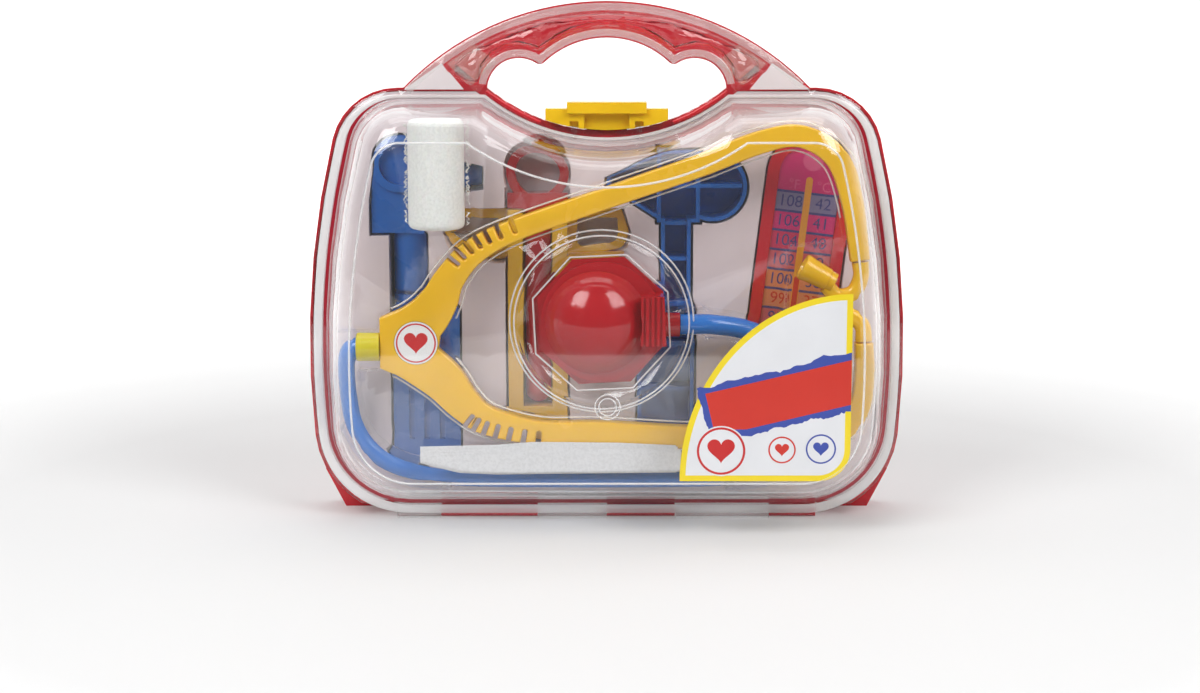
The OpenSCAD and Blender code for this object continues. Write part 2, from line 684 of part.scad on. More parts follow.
// Slot cut from the outer edge at place i of a curve, s = 1 on its left
module slot(c, i, s) {
  u = heading(c, i);
  turn = atan2(u[1], u[0]);
  translate([c[i][0], c[i][1]]) rotate(turn) translate([0, s * (c[i][2] / 2 - slot_l)]) {
    translate([-slot_w / 2, min(0, s * (slot_l + 2))]) square([slot_w, slot_l + 2]);
    circle(slot_w / 2, $fn = 16);
  }
}
neck = 3;
crotch = 8;
badge_c = [-84.8, 84.3];
module yoke_outline(e = 0) {
  n = len(upper_arm) - 1;
  m = len(lower_arm) - 1;
  start = upper_arm[0];
  w = start[2] / 2 + e;
  polygon(concat(
    [[start[0] - e, start[1] - w], [start[0] - e, start[1] + w]],
    [for (i = [neck:n]) beside(upper_arm, i, 1, e)], [for (i = [n:-1:crotch]) beside(upper_arm, i, -1, e)],
    [for (i = [crotch:m]) beside(lower_arm, i, 1, e)], [for (i = [m:-1:neck]) beside(lower_arm, i, -1, e)]));
}
module stethoscope_yoke() {
  color("gold") on_lid() difference() {
    slab(yoke_h, yoke_h + yoke_t) difference() {
      yoke_outline();
      for (i = [slot_first:slot_first + 6]) {
        slot(upper_arm, i, 1);
        slot(lower_arm, i, -1);
      }
    }
    slab(yoke_h + yoke_t - badge_t, yoke_h + yoke_t + 1) disc(badge_c, badge_r + 0.2);
  }
}

module yoke_badge() {
  color("white") on_lid() slab(yoke_h + yoke_t - badge_t, yoke_h + yoke_t + 0.1) disc(badge_c, badge_r);
}

// Ear pieces, plugged on the ends of the arms
hook_upper = curve([[112.7, 120.3, 8.4], [113, 113.4, 7.6], [109.4, 106.4, 7], [102.4, 105, 7], [97.4, 109.6, 7]], 3);
hook_lower = curve([[115, 84.7, 8.4], [114, 91.4, 7.6], [108.2, 96, 7], [101.4, 94.2, 7], [97.4, 88.4, 7]], 3);
plug_r = 5.9;
plug_h = yoke_h + yoke_t / 2 + 1.2;
plug_l = 13;
module plug(c, turn) {
  translate([c[0], c[1], plug_h]) rotate([0, 0, turn]) rotate([0, 90, 0]) {
    cylinder(r1 = plug_r - 1, r2 = plug_r, h = plug_l);
    translate([0, 0, -3]) cylinder(r = 4.4, h = 4);
  }
}
upper_plug = [98, 112.4];
lower_plug = [97, 86];
module ear_tip_upper() {
  color("gold") on_lid() {
    arm(hook_upper, yoke_h + 0.5, yoke_h + yoke_t - 0.5);
    plug(upper_plug, 152);
  }
}
module ear_tip_lower() {
  color("gold") on_lid() {
    arm(hook_lower, yoke_h + 0.5, yoke_h + yoke_t - 0.5);
    plug(lower_plug, 210);
  }
}

// Sleeve between the neck and the hose
sleeve_r = 6.4;
sleeve_x0 = -111.5;
sleeve_h = yoke_h + yoke_t / 2;
module hose_connector() {
  color("yellowgreen") translate([sleeve_x0, part_y - sleeve_h, 82]) rotate([0, 90, 0]) difference() {
    cylinder(r = sleeve_r, h = upper_arm[0][0] - half - sleeve_x0);
    translate([0, 0, -1]) cylinder(r = hose_r + 0.5, h = 7);
  }
}

// Hose from the neck round the foot of the lid to the chest piece: x, z, height
hose_way = curve([
  [-106, 82, sleeve_h], [-110.2, 82, sleeve_h], [-115, 80, 17.6], [-117, 75, 16.4], [-117.4, 67, 14], [-117, 58, 11],
  [-115, 47, 9], [-109, 36, hose_h], [-98, 27, hose_h], [-80, 21.5, hose_h], [-57, 19.5, hose_h],
  [-20, 19, hose_h], [20, 19, hose_h], [50, 20, hose_h], [70, 23, hose_h], [87, 31, hose_h],
  [95.5, 43.5, hose_h], [94, 61, hose_h], [83.5, 77, hose_h], [65, 87.6, 10],
  [49, 91.2, 13.6], [40, socket_z, socket_h], [socket_x + 0.3, socket_z, socket_h]
], 3);
// The sharp bend at the sleeve is left to the sleeve's own pocket
bend_end = 9;
module hose_outline(e = 0) {
  ribbon([for (i = [bend_end:len(hose_way) - 1]) [hose_way[i][0], hose_way[i][1], 2 * hose_r]], e);
}
module stethoscope_tube() {
  m = 8;
  n = len(hose_way);
  points = [for (i = [0:n - 1])
    let (
      a = knot(hose_way, i - 1), b = knot(hose_way, i + 1), d = (b - a) / norm(b - a),
      side = cross(d, [0, 0, 1]), v = side / norm(side), w = cross(v, d)
    )
    for (k = [0:m - 1]) hose_way[i] + hose_r * (cos(360 * k / m) * v + sin(360 * k / m) * w)];
  sides = [for (r = [0:n - 2]) for (i = [0:m - 1])
    let (j = (i + 1) % m, a = r * m + i, b = r * m + j, c = b + m, d = a + m)
    each [[a, c, d], [a, b, c]]];
  color("steelblue") on_lid() polyhedron(points, concat(
    [[for (i = [m - 1:-1:0]) i]], sides, [[for (i = [0:m - 1]) (n - 1) * m + i]]));
}

// Chest piece: eight-sided back, stepped dome and ribbed grip

module chest_octagon(e = 0) {
  translate(chest_c) rotate(chest_turn) circle(chest_r + e / cos(22.5), $fn = 8);
}
module chest_base() {
  color("firebrick") on_lid() {
    slab(chest_h, chest_h + 7) chest_octagon();
    slab(chest_h + 7 - eps, chest_h + 11) disc(chest_c, dome_r + 4);
    translate([20, socket_z, socket_h]) rotate([0, 90, 0]) cylinder(r = socket_r, h = socket_x - 20);
  }
}
module chest_dome() {
  dome_top = 12;
  ball_r = (dome_r * dome_r + dome_top * dome_top) / (2 * dome_top);
  color("red") on_lid() translate([chest_c[0] - 2.2, chest_c[1], chest_h + 11]) rotate_extrude($fn = 64) {
    square([dome_r, 2]);
    intersection() {
      translate([0, 2 + dome_top - ball_r]) circle(ball_r, $fn = 120);
      translate([0, 1.9]) square([dome_r, dome_top + 1]);
    }
  }
}
module chest_grip() {
  color("red") on_lid() difference() {
    slab(chest_h + 11, chest_h + 23) intersection() {
      bar(15, 28.4, 84.4, 106.4);
      chest_octagon();
    }
    for (i = [0:6]) slab(chest_h + 22, chest_h + 24) bar(11.4 + 2.4 * i, 12.4 + 2.4 * i, 84, 107);
    translate([chest_c[0] - 2.2, chest_c[1], chest_h + 10]) cylinder(r = dome_r + 0.2, h = 3.2);
    translate([chest_c[0] - 2.2, chest_c[1], chest_h + 13 - 10.03]) sphere(r = 28.3, $fn = 64);
  }
}

// Clear formed insert that holds the headset, the chest piece, the hose and the gauze roll
roll_floor = roll_h - roll_r - 0.3;
ear_bay = [82, 119.8, 74.5, 126];
insert_in = [13.4, 14.8, 9.6];
module roll_outline(e = 0) {
  bar(roll_c[0] - roll_r, roll_c[0] + roll_r, roll_c[1] - roll_l / 2, roll_c[1] + roll_l / 2, e);
}
module ear_outline(e) { bar(ear_bay[0], ear_bay[1], ear_bay[2], ear_bay[3], e); }
module sleeve_outline(e) { bar(-125, -100, 72, 82 + sleeve_r, e); }
module insert_floor(h) { slab(h - sheet, insert_h) intersection() { children(); polygon(insert_ring); } }
insert_ring = ring(insert_in[0], insert_in[1], insert_in[2]);
module front_insert() {
  hose_floor = hose_h - hose_r - 0.3;
  yoke_floor = yoke_h - 0.3;
  ear_floor = yoke_h + yoke_t / 2 - sleeve_r - 0.4;
  g = fit + sheet;
  color([0.9, 0.92, 0.95, 0.3]) on_lid() difference() {
    union() {
      slab(insert_h - sheet, insert_h) polygon(insert_ring);
      slab(insert_h - sheet - 0.2, plateau_h) disc(chest_c, plateau_r);
      insert_floor(hose_floor) hose_outline(g);
      insert_floor(yoke_floor) yoke_outline(g);
      insert_floor(ear_floor) sleeve_outline(sheet);
      insert_floor(ear_floor) ear_outline(g);
      insert_floor(roll_floor) roll_outline(g);
      slab(chest_h - 0.3 - sheet, insert_h) chest_octagon(g);
    }
    slab(hose_floor, plateau_h + 1) hose_outline(fit);
    slab(yoke_floor, plateau_h + 1) yoke_outline(fit);
    slab(ear_floor, plateau_h + 1) ear_outline(fit);
    slab(ear_floor, plateau_h + 1) sleeve_outline(0);
    slab(roll_floor, plateau_h + 1) roll_outline(fit);
    slab(chest_h - 0.3, plateau_h + 1) chest_octagon(fit);
    // Underside of the raised ring round the chest piece
    slab(insert_h - 6, plateau_h - sheet) difference() {
      disc(chest_c, plateau_r - sheet);
      chest_octagon(g);
    }
    slab(socket_h - socket_r - 0.3, plateau_h + 1) bar(20, 44, socket_z - socket_r - 0.8, socket_z + socket_r + 0.8);
  }
}

// Printed label on the front panel
label_c = [106.4, 27];
module label_outline() {
  intersection() {
    polygon(concat([for (a = [90:6:180]) [label_c[0] + 74.6 * cos(a), label_c[1] + 82.8 * sin(a)]],
      [[label_c[0] - 74.6, label_c[1]], [label_c[0] + 2, label_c[1]], [label_c[0] + 2, label_c[1] + 82.8]]));
    union() {
      bar(30, label_c[0] - 14, label_c[1], 112);
      bar(30, label_c[0], label_c[1] + 14, 112);
      disc([label_c[0] - 14, label_c[1] + 14], 14);
    }
  }
}
module front_label() {
  color("white") on_lid() slab(lid_depth, lid_depth + label_t) label_outline();
}

// Gauze roll, a spiral of one strip
roll_turns = 5;
roll_steps = 16;
roll_pitch = (roll_r - 1) / roll_turns;
roll_gap = 0.5;
function spiral(k, r) = let (a = 360 * k / roll_steps) [r * cos(a), r * sin(a)];
module bandage_roll() {
  n = roll_turns * roll_steps;
  outer = [for (k = [0:n]) spiral(k, 1 + roll_pitch * (k / roll_steps))];
  inner = [for (k = [n:-1:0]) spiral(k, max(0.3, 1 + roll_pitch * (k / roll_steps) - roll_pitch + roll_gap))];
  echo(least_gap_in_gauze_roll = roll_gap);
  color("white") translate([roll_c[0], part_y - roll_h, roll_c[1] - roll_l / 2]) linear_extrude(roll_l)
    polygon(concat(outer, inner));
}

// Folded leaflet
module leaflet() {
  color("whitesmoke") on_lid() slab(leaflet_h, leaflet_h + 1.2)
    polygon([[-83.5, 29.8], [-66.5, 25.4], [-49.5, 24.6], [31, 25.6], [31, 38], [5, 39.2], [-32.5, 39.6], [-50, 38.2], [-83.5, 37.4]]);
}

front_shell();
back_shell();
latch();
tray();
front_insert();
front_label();
stethoscope_yoke();
yoke_badge();
ear_tip_upper();
ear_tip_lower();
hose_connector();
stethoscope_tube();
chest_base();
chest_dome();
chest_grip();
bandage_roll();
leaflet();
otoscope_head();
otoscope_cone();
otoscope_handle();
syringe_barrel();
syringe_plunger();
reflex_hammer();
thermometer_body();
thermometer_card();
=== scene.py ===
"""Looks of the toy doctor case: clear lid, red base, clip, formed sheets and the toys inside."""

import math

import bmesh
import bpy
import numpy as np
from bpy.props import FloatProperty, FloatVectorProperty, IntProperty, PointerProperty
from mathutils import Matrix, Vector


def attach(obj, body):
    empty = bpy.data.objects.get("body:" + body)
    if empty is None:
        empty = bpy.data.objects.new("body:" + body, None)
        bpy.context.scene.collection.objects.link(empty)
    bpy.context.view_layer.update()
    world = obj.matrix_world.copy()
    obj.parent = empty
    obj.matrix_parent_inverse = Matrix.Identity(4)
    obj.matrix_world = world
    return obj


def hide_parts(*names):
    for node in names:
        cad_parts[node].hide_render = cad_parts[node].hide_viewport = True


bl_info = {
    "name": "Toy Doctor Case",
    "version": (1, 0, 0),
    "blender": (4, 5, 0),
    "location": "View3D > Sidebar > Doctor Case",
    "description": "Dresses the packed toy doctor case with its shells, formed sheets, toys and prints",
    "category": "Add Mesh",
}

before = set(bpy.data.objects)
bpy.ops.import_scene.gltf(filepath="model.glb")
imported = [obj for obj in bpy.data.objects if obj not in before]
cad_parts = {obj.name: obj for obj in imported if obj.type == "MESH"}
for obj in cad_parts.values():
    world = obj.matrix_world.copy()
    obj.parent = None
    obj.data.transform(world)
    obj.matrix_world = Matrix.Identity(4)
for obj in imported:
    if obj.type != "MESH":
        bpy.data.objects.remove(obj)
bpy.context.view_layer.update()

# Lengths are in millimetres, and MM turns them into Blender's metres. The lid and the base meet on the plane
# y = PART_Y. A height is measured from it: towards the viewer on the lid's side, away on the base's side.
# Outlines are drawn as (x, z).
MM = 0.001
PART_Y = 6.0
LID_SIDE, BASE_SIDE = -1, 1
TO_VIEWER = (0, -1, 0)
TURN = 2 * np.pi

# Outline of the case, with the sizes of the solids
CASE_W, SHOULDER_Z, DIP_DEPTH, DIP_R = 269.8, 196.0, 19.0, 83.4
CORNER_R, SHOULDER_R, SIDE_R, WIDEST_Z = 42.0, 30.0, 400.0, 75.0
FLANGE_T, LID_DEPTH = 3.0, 45.8
SIDE_CX = CASE_W / 2 - SIDE_R
DIP_CZ = SHOULDER_Z - DIP_DEPTH + DIP_R

# Handle and its hand hole: a wide lobe between two small ones
HANDLE_R, HANDLE_TOP, BAR_W, HANDLE_HALF_ANGLE = 126.7, 234.2, 16.0, 44.5
HANDLE_CZ = HANDLE_TOP - HANDLE_R
LOBE_R, SIDE_LOBE_R = 40.8, 14.2
LOBE_C = (0.0, HANDLE_TOP - BAR_W - LOBE_R)
SIDE_LOBE_C = (39.0, SHOULDER_Z - 1)

# Toys: centres are (x, z), heights end in _H and angles are in degrees
YOKE_H, YOKE_T = 14.0, 8.0
HOSE_R, SLEEVE_C, SLEEVE_H = 4.5, (0, 82.0), 18.0
HOOK_H, HOOK_HALF_T, PLUG_H = 18.0, 3.5, 19.2
CHEST_C, CHEST_TURN = (-2.3, 93.4), 25.4
DOME_C, DOME_R, DOME_H, DOME_RISE = (-2.3 - 2.2, 93.4), 23.0, 22.0, 12.0
ROLL_C, ROLL_H, ROLL_R, ROLL_L = (-74.8, 159.5), 19.0, 13.2, 50.0
BADGE_C, BADGE_R = (-84.8, 84.3), 9.6
THERMO_C, THERMO_TURN, THERMO_W, THERMO_L = (91.6, 156.8), 6.7, 39.0, 128.0
CARD_H = 3.0

COLOUR = {"subtype": "COLOR", "size": 3, "min": 0, "max": 1}


class CASE_PG_colours(bpy.types.PropertyGroup):
    """Colours of the moulded parts."""
    red: FloatVectorProperty(name="Red", description="Red of the base and the handle",
                             default=(0.62, 0.010, 0.022), **COLOUR)
    yellow: FloatVectorProperty(name="Yellow", description="Yellow of the headset and the syringe",
                                default=(0.88, 0.50, 0.012), **COLOUR)
    blue: FloatVectorProperty(name="Blue", description="Blue of the hammer and the otoscope",
                              default=(0.012, 0.130, 0.50), **COLOUR)
    tray: FloatVectorProperty(name="Tray", description="Pale formed tray",
                              default=(0.80, 0.68, 0.70), **COLOUR)


class CASE_PG_sizes(bpy.types.PropertyGroup):
    """Sizes of the fine forms that the scene adds to the solids."""
    # The rim's bright edge is a band of clear plastic hazed white, a painted highlight on the moulded rim
    rim_round: FloatProperty(name="Rim rounding", description="Height of the bright edge on the lid's rim",
                             default=0.6 * MM, min=0.1 * MM, max=1.2 * MM, unit="LENGTH")
    dome_steps: IntProperty(name="Dome steps", description="Rings stepped into the chest piece's dome",
                            default=3, min=0, max=6)
    fringe: IntProperty(name="Gauze fringe", description="Loose threads on each side of the gauze roll",
                        default=60, min=0, max=200)


def sizes():
    return bpy.context.scene.case_sizes


# Curves of x, z

def arc(c, r, a0, a1, n):
    """n points on a circle of centre c and radius r, from angle a0 up to, but not at, a1, in degrees."""
    a = np.radians(a0 + (a1 - a0) * np.arange(n) / n)
    return np.stack([c[0] + r * np.cos(a), c[1] + r * np.sin(a)], 1)


def circle(c, r, n=48):
    return arc(c, r, 0, 360, n)


def outline(side, bottom, top):
    """Outline of the case drawn in at the sides, bottom and top, from the foot's middle round the right side
    to the dip and back. Each side has a foot, a corner, a long arc, a shoulder, a flat and half the dip."""
    def corner(z, r):
        """Centre of a corner of radius r at height z, and the angle at which it meets the side's arc."""
        x = SIDE_CX + math.sqrt((SIDE_R - side - r) ** 2 - (z - WIDEST_Z) ** 2)
        return (x, z), math.degrees(math.atan2(z - WIDEST_Z, x - SIDE_CX))

    low_r, high_r, dip_r, top_z = CORNER_R - 0.7 * side, SHOULDER_R - 0.75 * side, DIP_R + top, SHOULDER_Z - top
    low, low_a = corner(bottom + low_r, low_r)
    high, high_a = corner(top_z - high_r, high_r)
    dip_x = math.sqrt(dip_r * dip_r - (DIP_CZ - top_z) ** 2)
    dip_a = math.degrees(math.atan2(top_z - DIP_CZ, dip_x))
    right = np.vstack([
        np.stack([np.linspace(0, low[0], 12)[:-1], np.full(11, bottom)], 1),
        arc(low, low_r, -90, low_a, 20), arc((SIDE_CX, WIDEST_Z), SIDE_R - side, low_a, high_a, 16),
        arc(high, high_r, high_a, 90, 18),
        np.stack([np.linspace(high[0], dip_x, 9)[:-1], np.full(8, top_z)], 1),
        arc((0, DIP_CZ), dip_r, dip_a, -90, 20), [[0, DIP_CZ - dip_r]],
    ])
    return np.vstack([right, right[-2:0:-1] * (-1, 1)])


def handle_arc(inset):
    """Outer arc of the handle drawn in by inset, from the left shoulder to the right one."""
    return arc((0, HANDLE_CZ), HANDLE_R - inset, 180 - HANDLE_HALF_ANGLE, HANDLE_HALF_ANGLE, 60)


def hand_edge(d):
    """Edge of the hand hole moved outwards by d, from left to right: a side lobe, the finger lobe and the other
    side lobe, joined at the cusps where the grown circles cross."""
    big, small = LOBE_R + d, SIDE_LOBE_R + d
    dx, dz = SIDE_LOBE_C[0], SIDE_LOBE_C[1] - LOBE_C[1]
    gap = math.hypot(dx, dz)
    along = (big * big - small * small + gap * gap) / (2 * gap)
    off = math.sqrt(max(big * big - along * along, 0))
    x = (along * dx - off * dz) / gap
    z = LOBE_C[1] + (along * dz + off * dx) / gap
    a_big = math.degrees(math.atan2(z - LOBE_C[1], x))
    a_small = math.degrees(math.atan2(z - SIDE_LOBE_C[1], x - SIDE_LOBE_C[0]))
    right = arc(SIDE_LOBE_C, small, a_small, 5, 24)
    over = arc(LOBE_C, big, 180 - a_big, a_big, 48)
    return np.vstack([right[::-1] * (-1, 1), over, right])


def turned(points, degrees, centre):
    """Points turned by an angle about the origin, and then moved to a centre."""
    a = math.radians(degrees)
    x, z = np.asarray(points, float).reshape(-1, 2).T
    return np.stack([centre[0] + x * math.cos(a) - z * math.sin(a),
                     centre[1] + x * math.sin(a) + z * math.cos(a)], 1)


def smooth_rows(points, n):
    """Catmull-Rom curve through rows of control values: n samples a span, and the last row."""
    p = np.asarray(points, float)
    q = np.vstack([2 * p[0] - p[1], p, 2 * p[-1] - p[-2]])
    a, b, c, d = q[:-3, None], q[1:-2, None], q[2:-1, None], q[3:, None]
    t = (np.arange(n) / n)[None, :, None]
    out = 0.5 * (2 * b + (c - a) * t + (2 * a - 5 * b + 4 * c - d) * t ** 2
                 + (3 * b - a - 3 * c + d) * t ** 3)
    return np.vstack([out.reshape(-1, p.shape[1]), p[-1:]])


def unit(v):
    """Rows of vectors brought to a length of one."""
    return v / np.linalg.norm(v, axis=1)[:, None]


def left_of(u):
    """Rows of x, z turned a quarter to the left."""
    return np.stack([-u[:, 1], u[:, 0]], 1)


def headings(c):
    """Unit direction along each place of a curve."""
    return unit(np.gradient(c[:, :2], axis=0))


def edge_of(c, s):
    """Edge of a ribbon of x, z, width: each place moved by half its width to side s."""
    return c[:, :2] + s * c[:, 2:3] / 2 * left_of(headings(c))


def heart(c, r, n=60):
    """Heart curve: x = 16 sin^3 t, z = 13 cos t - 5 cos 2t - 2 cos 3t - cos 4t, drawn to a reach of r."""
    t = np.linspace(0, TURN, n, endpoint=False)
    x = 16 * np.sin(t) ** 3
    z = 13 * np.cos(t) - 5 * np.cos(2 * t) - 2 * np.cos(3 * t) - np.cos(4 * t)
    return np.stack([c[0] - r * x / 17, c[1] + r * (z + 2) / 17], 1)


# Meshes

def place(xz, h, side):
    """Points in metres at a height on a side. xz is the pair x, z or an array whose rows start with them."""
    x, z = xz if isinstance(xz, tuple) else (xz[..., 0], xz[..., 1])
    x, z, h = np.broadcast_arrays(x, z, h)
    return np.stack([x, PART_Y + side * h, z], -1) * MM


def at_height(c, h):
    """Point in millimetres over a centre of x, z, on the lid's side."""
    return c[0], PART_Y - h, c[1]


def linked(name, data):
    """A new object in the scene."""
    obj = bpy.data.objects.new(name, data)
    bpy.context.scene.collection.objects.link(obj)
    return obj


def applied(obj):
    """The mesh of an object with its modifiers applied, or of a curve or text."""
    bpy.context.view_layer.update()
    return bpy.data.meshes.new_from_object(obj.evaluated_get(bpy.context.evaluated_depsgraph_get()))


def bake(obj):
    """Puts an object's modifiers into its mesh, and returns that."""
    mesh = applied(obj)
    obj.modifiers.clear()
    obj.data = mesh
    return mesh


def merged(mesh, dist=0.004):
    """A bmesh of a mesh, with places closer than dist millimetres made one."""
    bm = bmesh.new()
    bm.from_mesh(mesh)
    bmesh.ops.remove_doubles(bm, verts=bm.verts, dist=dist * MM)
    return bm


def coordinates(mesh):
    """The places of a mesh's vertices, one row each."""
    co = np.empty(len(mesh.vertices) * 3)
    mesh.vertices.foreach_get("co", co)
    return co.reshape(-1, 3)


def shade(bm, mesh, smooth):
    """Smooths all faces, leaves edges sharper than smooth degrees sharp, and hands the result to a mesh."""
    limit = math.radians(smooth)
    for e in bm.edges:
        e.smooth = len(e.link_faces) == 2 and e.calc_face_angle(0.0) < limit
    for f in bm.faces:
        f.smooth = True
    bm.to_mesh(mesh)
    bm.free()


def grid_faces(rows, cols, wrap_rows=False, wrap_cols=True):
    """Quads of a grid of rows x cols points, joined round in either direction."""
    r = np.arange(rows if wrap_rows else rows - 1)[:, None]
    c = np.arange(cols if wrap_cols else cols - 1)[None, :]
    r2, c2 = (r + 1) % rows, (c + 1) % cols
    return np.stack([r * cols + c, r * cols + c2, r2 * cols + c2, r2 * cols + c], -1).reshape(-1, 4)


def make(name, points, faces, material, body=None, smooth=35.0, closed=True):
    """One mesh object from points and a list of face arrays."""
    mesh = bpy.data.meshes.new(name)
    mesh.from_pydata(np.asarray(points, float).reshape(-1, 3).tolist(), [],
                     [f.tolist() for group in faces for f in np.atleast_2d(group)])
    return settle(name, mesh, material, body, smooth, closed)


def settle(name, mesh, material, body=None, smooth=35.0, closed=True):
    """Links a mesh as an object that rides on a body, with doubles merged, the faces of a closed mesh turned
    outwards and edges sharper than smooth degrees left sharp."""
    bm = merged(mesh)
    bmesh.ops.dissolve_degenerate(bm, edges=bm.edges, dist=0.002 * MM)
    if closed:
        bmesh.ops.recalc_face_normals(bm, faces=bm.faces)
    shade(bm, mesh, smooth)
    obj = linked(name, mesh)
    if material is not None:
        mesh.materials.append(material)
    if body is not None:
        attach(obj, body)
    return obj


def stand_in(obj, body, node):
    """Puts a piece on the body it rides on and hides the solid it stands for."""
    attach(obj, body)
    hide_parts(node)


def join(name, objs, smooth=35.0):
    """One object that holds the meshes of several, with their materials."""
    mats = list(dict.fromkeys(m for o in objs for m in o.data.materials))
    points, faces, index, start = [], [], [], 0
    for o in objs:
        me = o.data
        points.append(coordinates(me))
        for p in me.polygons:
            faces.append([start + v for v in p.vertices])
            index.append(mats.index(me.materials[p.material_index]))
        start += len(me.vertices)
    mesh = bpy.data.meshes.new(name)
    mesh.from_pydata(np.vstack(points).tolist(), [], faces)
    for m in mats:
        mesh.materials.append(m)
    mesh.polygons.foreach_set("material_index", index)
    for o in objs:
        bpy.data.objects.remove(o)
    return settle(name, mesh, None, smooth=smooth, closed=False)


def cut_from(obj, tool, smooth):
    """Cuts a tool out of an object, removes the tool and shades the object again."""
    mod = obj.modifiers.new("cut", "BOOLEAN")
    mod.operation, mod.solver, mod.object = "DIFFERENCE", "EXACT", tool
    mesh = bake(obj)
    bpy.data.objects.remove(tool)
    shade(merged(mesh), mesh, smooth)


def loft(name, rings, material, body=None, smooth=35.0, wrap=False):
    """A profile carried round or along: rings is (rows, cols, 3). With wrap the rows close on themselves,
    otherwise both ends are capped by one face each."""
    rows, cols = rings.shape[:2]
    faces = [grid_faces(rows, cols, wrap_rows=wrap)]
    if not wrap:
        faces += [np.arange(cols)[::-1], np.arange(cols) + (rows - 1) * cols]
    return make(name, rings, faces, material, body, smooth)


def lathe(name, profile, origin, axis, material, body=None, n=48, smooth=35.0):
    """A profile of (distance along the axis, radius) turned about an axis that isn't upright."""
    p = np.asarray(profile, float)
    axis = np.asarray(axis, float) / np.linalg.norm(axis)
    u = np.cross(axis, (0, 0, 1))
    u /= np.linalg.norm(u)
    v = np.cross(axis, u)
    a = TURN * np.arange(n) / n
    spin = np.cos(a)[:, None] * u + np.sin(a)[:, None] * v
    rings = np.asarray(origin, float) + p[:, 0, None, None] * axis + p[:, 1, None, None] * spin[None]
    return loft(name, rings * MM, material, body, smooth)


def from_curve(data, h, side, put=np.asarray):
    """The mesh of a flat curve or text at a height, after put has moved its places of x, z."""
    holder = linked(data.name, data)
    mesh = applied(holder)
    bpy.data.objects.remove(holder)
    co = coordinates(mesh)
    mesh.vertices.foreach_set("co", place(put(co[:, :2]), h + co[:, 2], side).ravel())
    mesh.materials.clear()
    return mesh


def plate(name, pts, h0, h1, side, ease, material):
    """A plate between heights h0 and h1 cut to an outline, with its edges rounded by ease: a filled flat curve
    with a depth and a bevel."""
    curve = bpy.data.curves.new(name, "CURVE")
    curve.dimensions = "2D"
    curve.fill_mode = "BOTH"
    spline = curve.splines.new("POLY")
    spline.points.add(len(pts) - 1)
    co = np.ones((len(pts), 4))
    co[:, :2], co[:, 2] = pts, 0
    spline.points.foreach_set("co", co.ravel())
    spline.use_cyclic_u = True
    curve.extrude = (h1 - h0) / 2 - ease
    curve.bevel_depth, curve.bevel_resolution, curve.offset = ease, 2, -ease
    return settle(name, from_curve(curve, (h0 + h1) / 2, side), material, smooth=40.0)


def sheet_of(name, outline_pts, h0, h1, side, material):
    """A thin layer between two heights: a closed prism on an outline."""
    rings = [place(np.asarray(outline_pts, float), h, side) for h in (h0, h1)]
    return loft(name, np.array(rings), material, smooth=20)


def printed(h, side, rows):
    """Thin layers of print over a height: each row is a name, an outline, two heights and a finish."""
    return [sheet_of(name, pts, h + low, h + high, side, finish(key)) for name, pts, low, high, key in rows]


def band(name, edge_a, edge_b, h0, h1, key, body="lid", wrap=False, ease=0.35):
    """A flat band between two edge curves: its section goes from height h0 at one edge over a top at h1, eased
    at both corners, to h0 at the other edge."""
    a, b = np.asarray(edge_a, float), np.asarray(edge_b, float)
    share = np.array([0, 0, ease / 2, 1 - ease / 2, 1, 1])
    rise = np.array([h0, h1 - (h1 - h0) * ease, h1, h1, h1 - (h1 - h0) * ease, h0])
    xz = a[:, None] + (b - a)[:, None] * share[None, :, None]
    h = np.broadcast_to(rise[None], xz.shape[:2])
    side = BASE_SIDE if body == "base" else LID_SIDE
    obj = loft(name, place(xz, h, side), finish(key), body, smooth=40, wrap=wrap)


def bead(name, path, h, r, wrap=True, n=10):
    """A round bead of radius r on the lid, along a path at height h that wrap closes on itself: each
    place takes the circle r cos a across the path and r sin a up. Its white haze is a painted highlight."""
    c = np.asarray(path, float)
    d = unit(np.roll(c, -1, 0) - np.roll(c, 1, 0) if wrap else np.gradient(c, axis=0))
    a = TURN * np.arange(n) / n
    xz = c[:, None] + r * np.cos(a)[None, :, None] * left_of(d)[:, None]
    high = np.broadcast_to(h + r * np.sin(a)[None], xz.shape[:2])
    obj = loft(name, place(xz, high, LID_SIDE), finish("line"), "lid", smooth=60, wrap=wrap)


def copy_solid(node, name, key, body, slot, width, segments=2, angle=34.0):
    """Shows a solid by a copy of its mesh. With a width, flat areas are made one face again and every edge
    sharper than the angle is rounded by it. Edges 6 degrees sharper still are shaded sharp."""
    bm = merged(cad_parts[node].data, 0.003)
    if width:
        bmesh.ops.dissolve_limit(bm, angle_limit=math.radians(1.0), verts=bm.verts, edges=bm.edges,
                                 delimit={"NORMAL"})
    mesh = bpy.data.meshes.new(name)
    bm.to_mesh(mesh)
    bm.free()
    obj = linked(name, mesh)
    if width:
        mod = obj.modifiers.new("rounding", "BEVEL")
        mod.width, mod.segments, mod.miter_outer = width * MM, segments, "MITER_ARC"
        mod.limit_method, mod.angle_limit = "ANGLE", math.radians(angle)
        mesh = bake(obj)
    mesh.polygons.foreach_set("use_smooth", [True] * len(mesh.polygons))
    mesh.materials.clear()
    mesh.materials.append(finish(key))
    obj.modifiers.new("even shading", "WEIGHTED_NORMAL").keep_sharp = True
    mesh.set_sharp_from_angle(angle=math.radians(angle + 6))
    stand_in(obj, body, node)


# Finishes

def new_material(name):
    """An empty node material and its node tree."""
    m = bpy.data.materials.new(name)
    m.use_nodes = True
    m.node_tree.nodes.clear()
    return m, m.node_tree


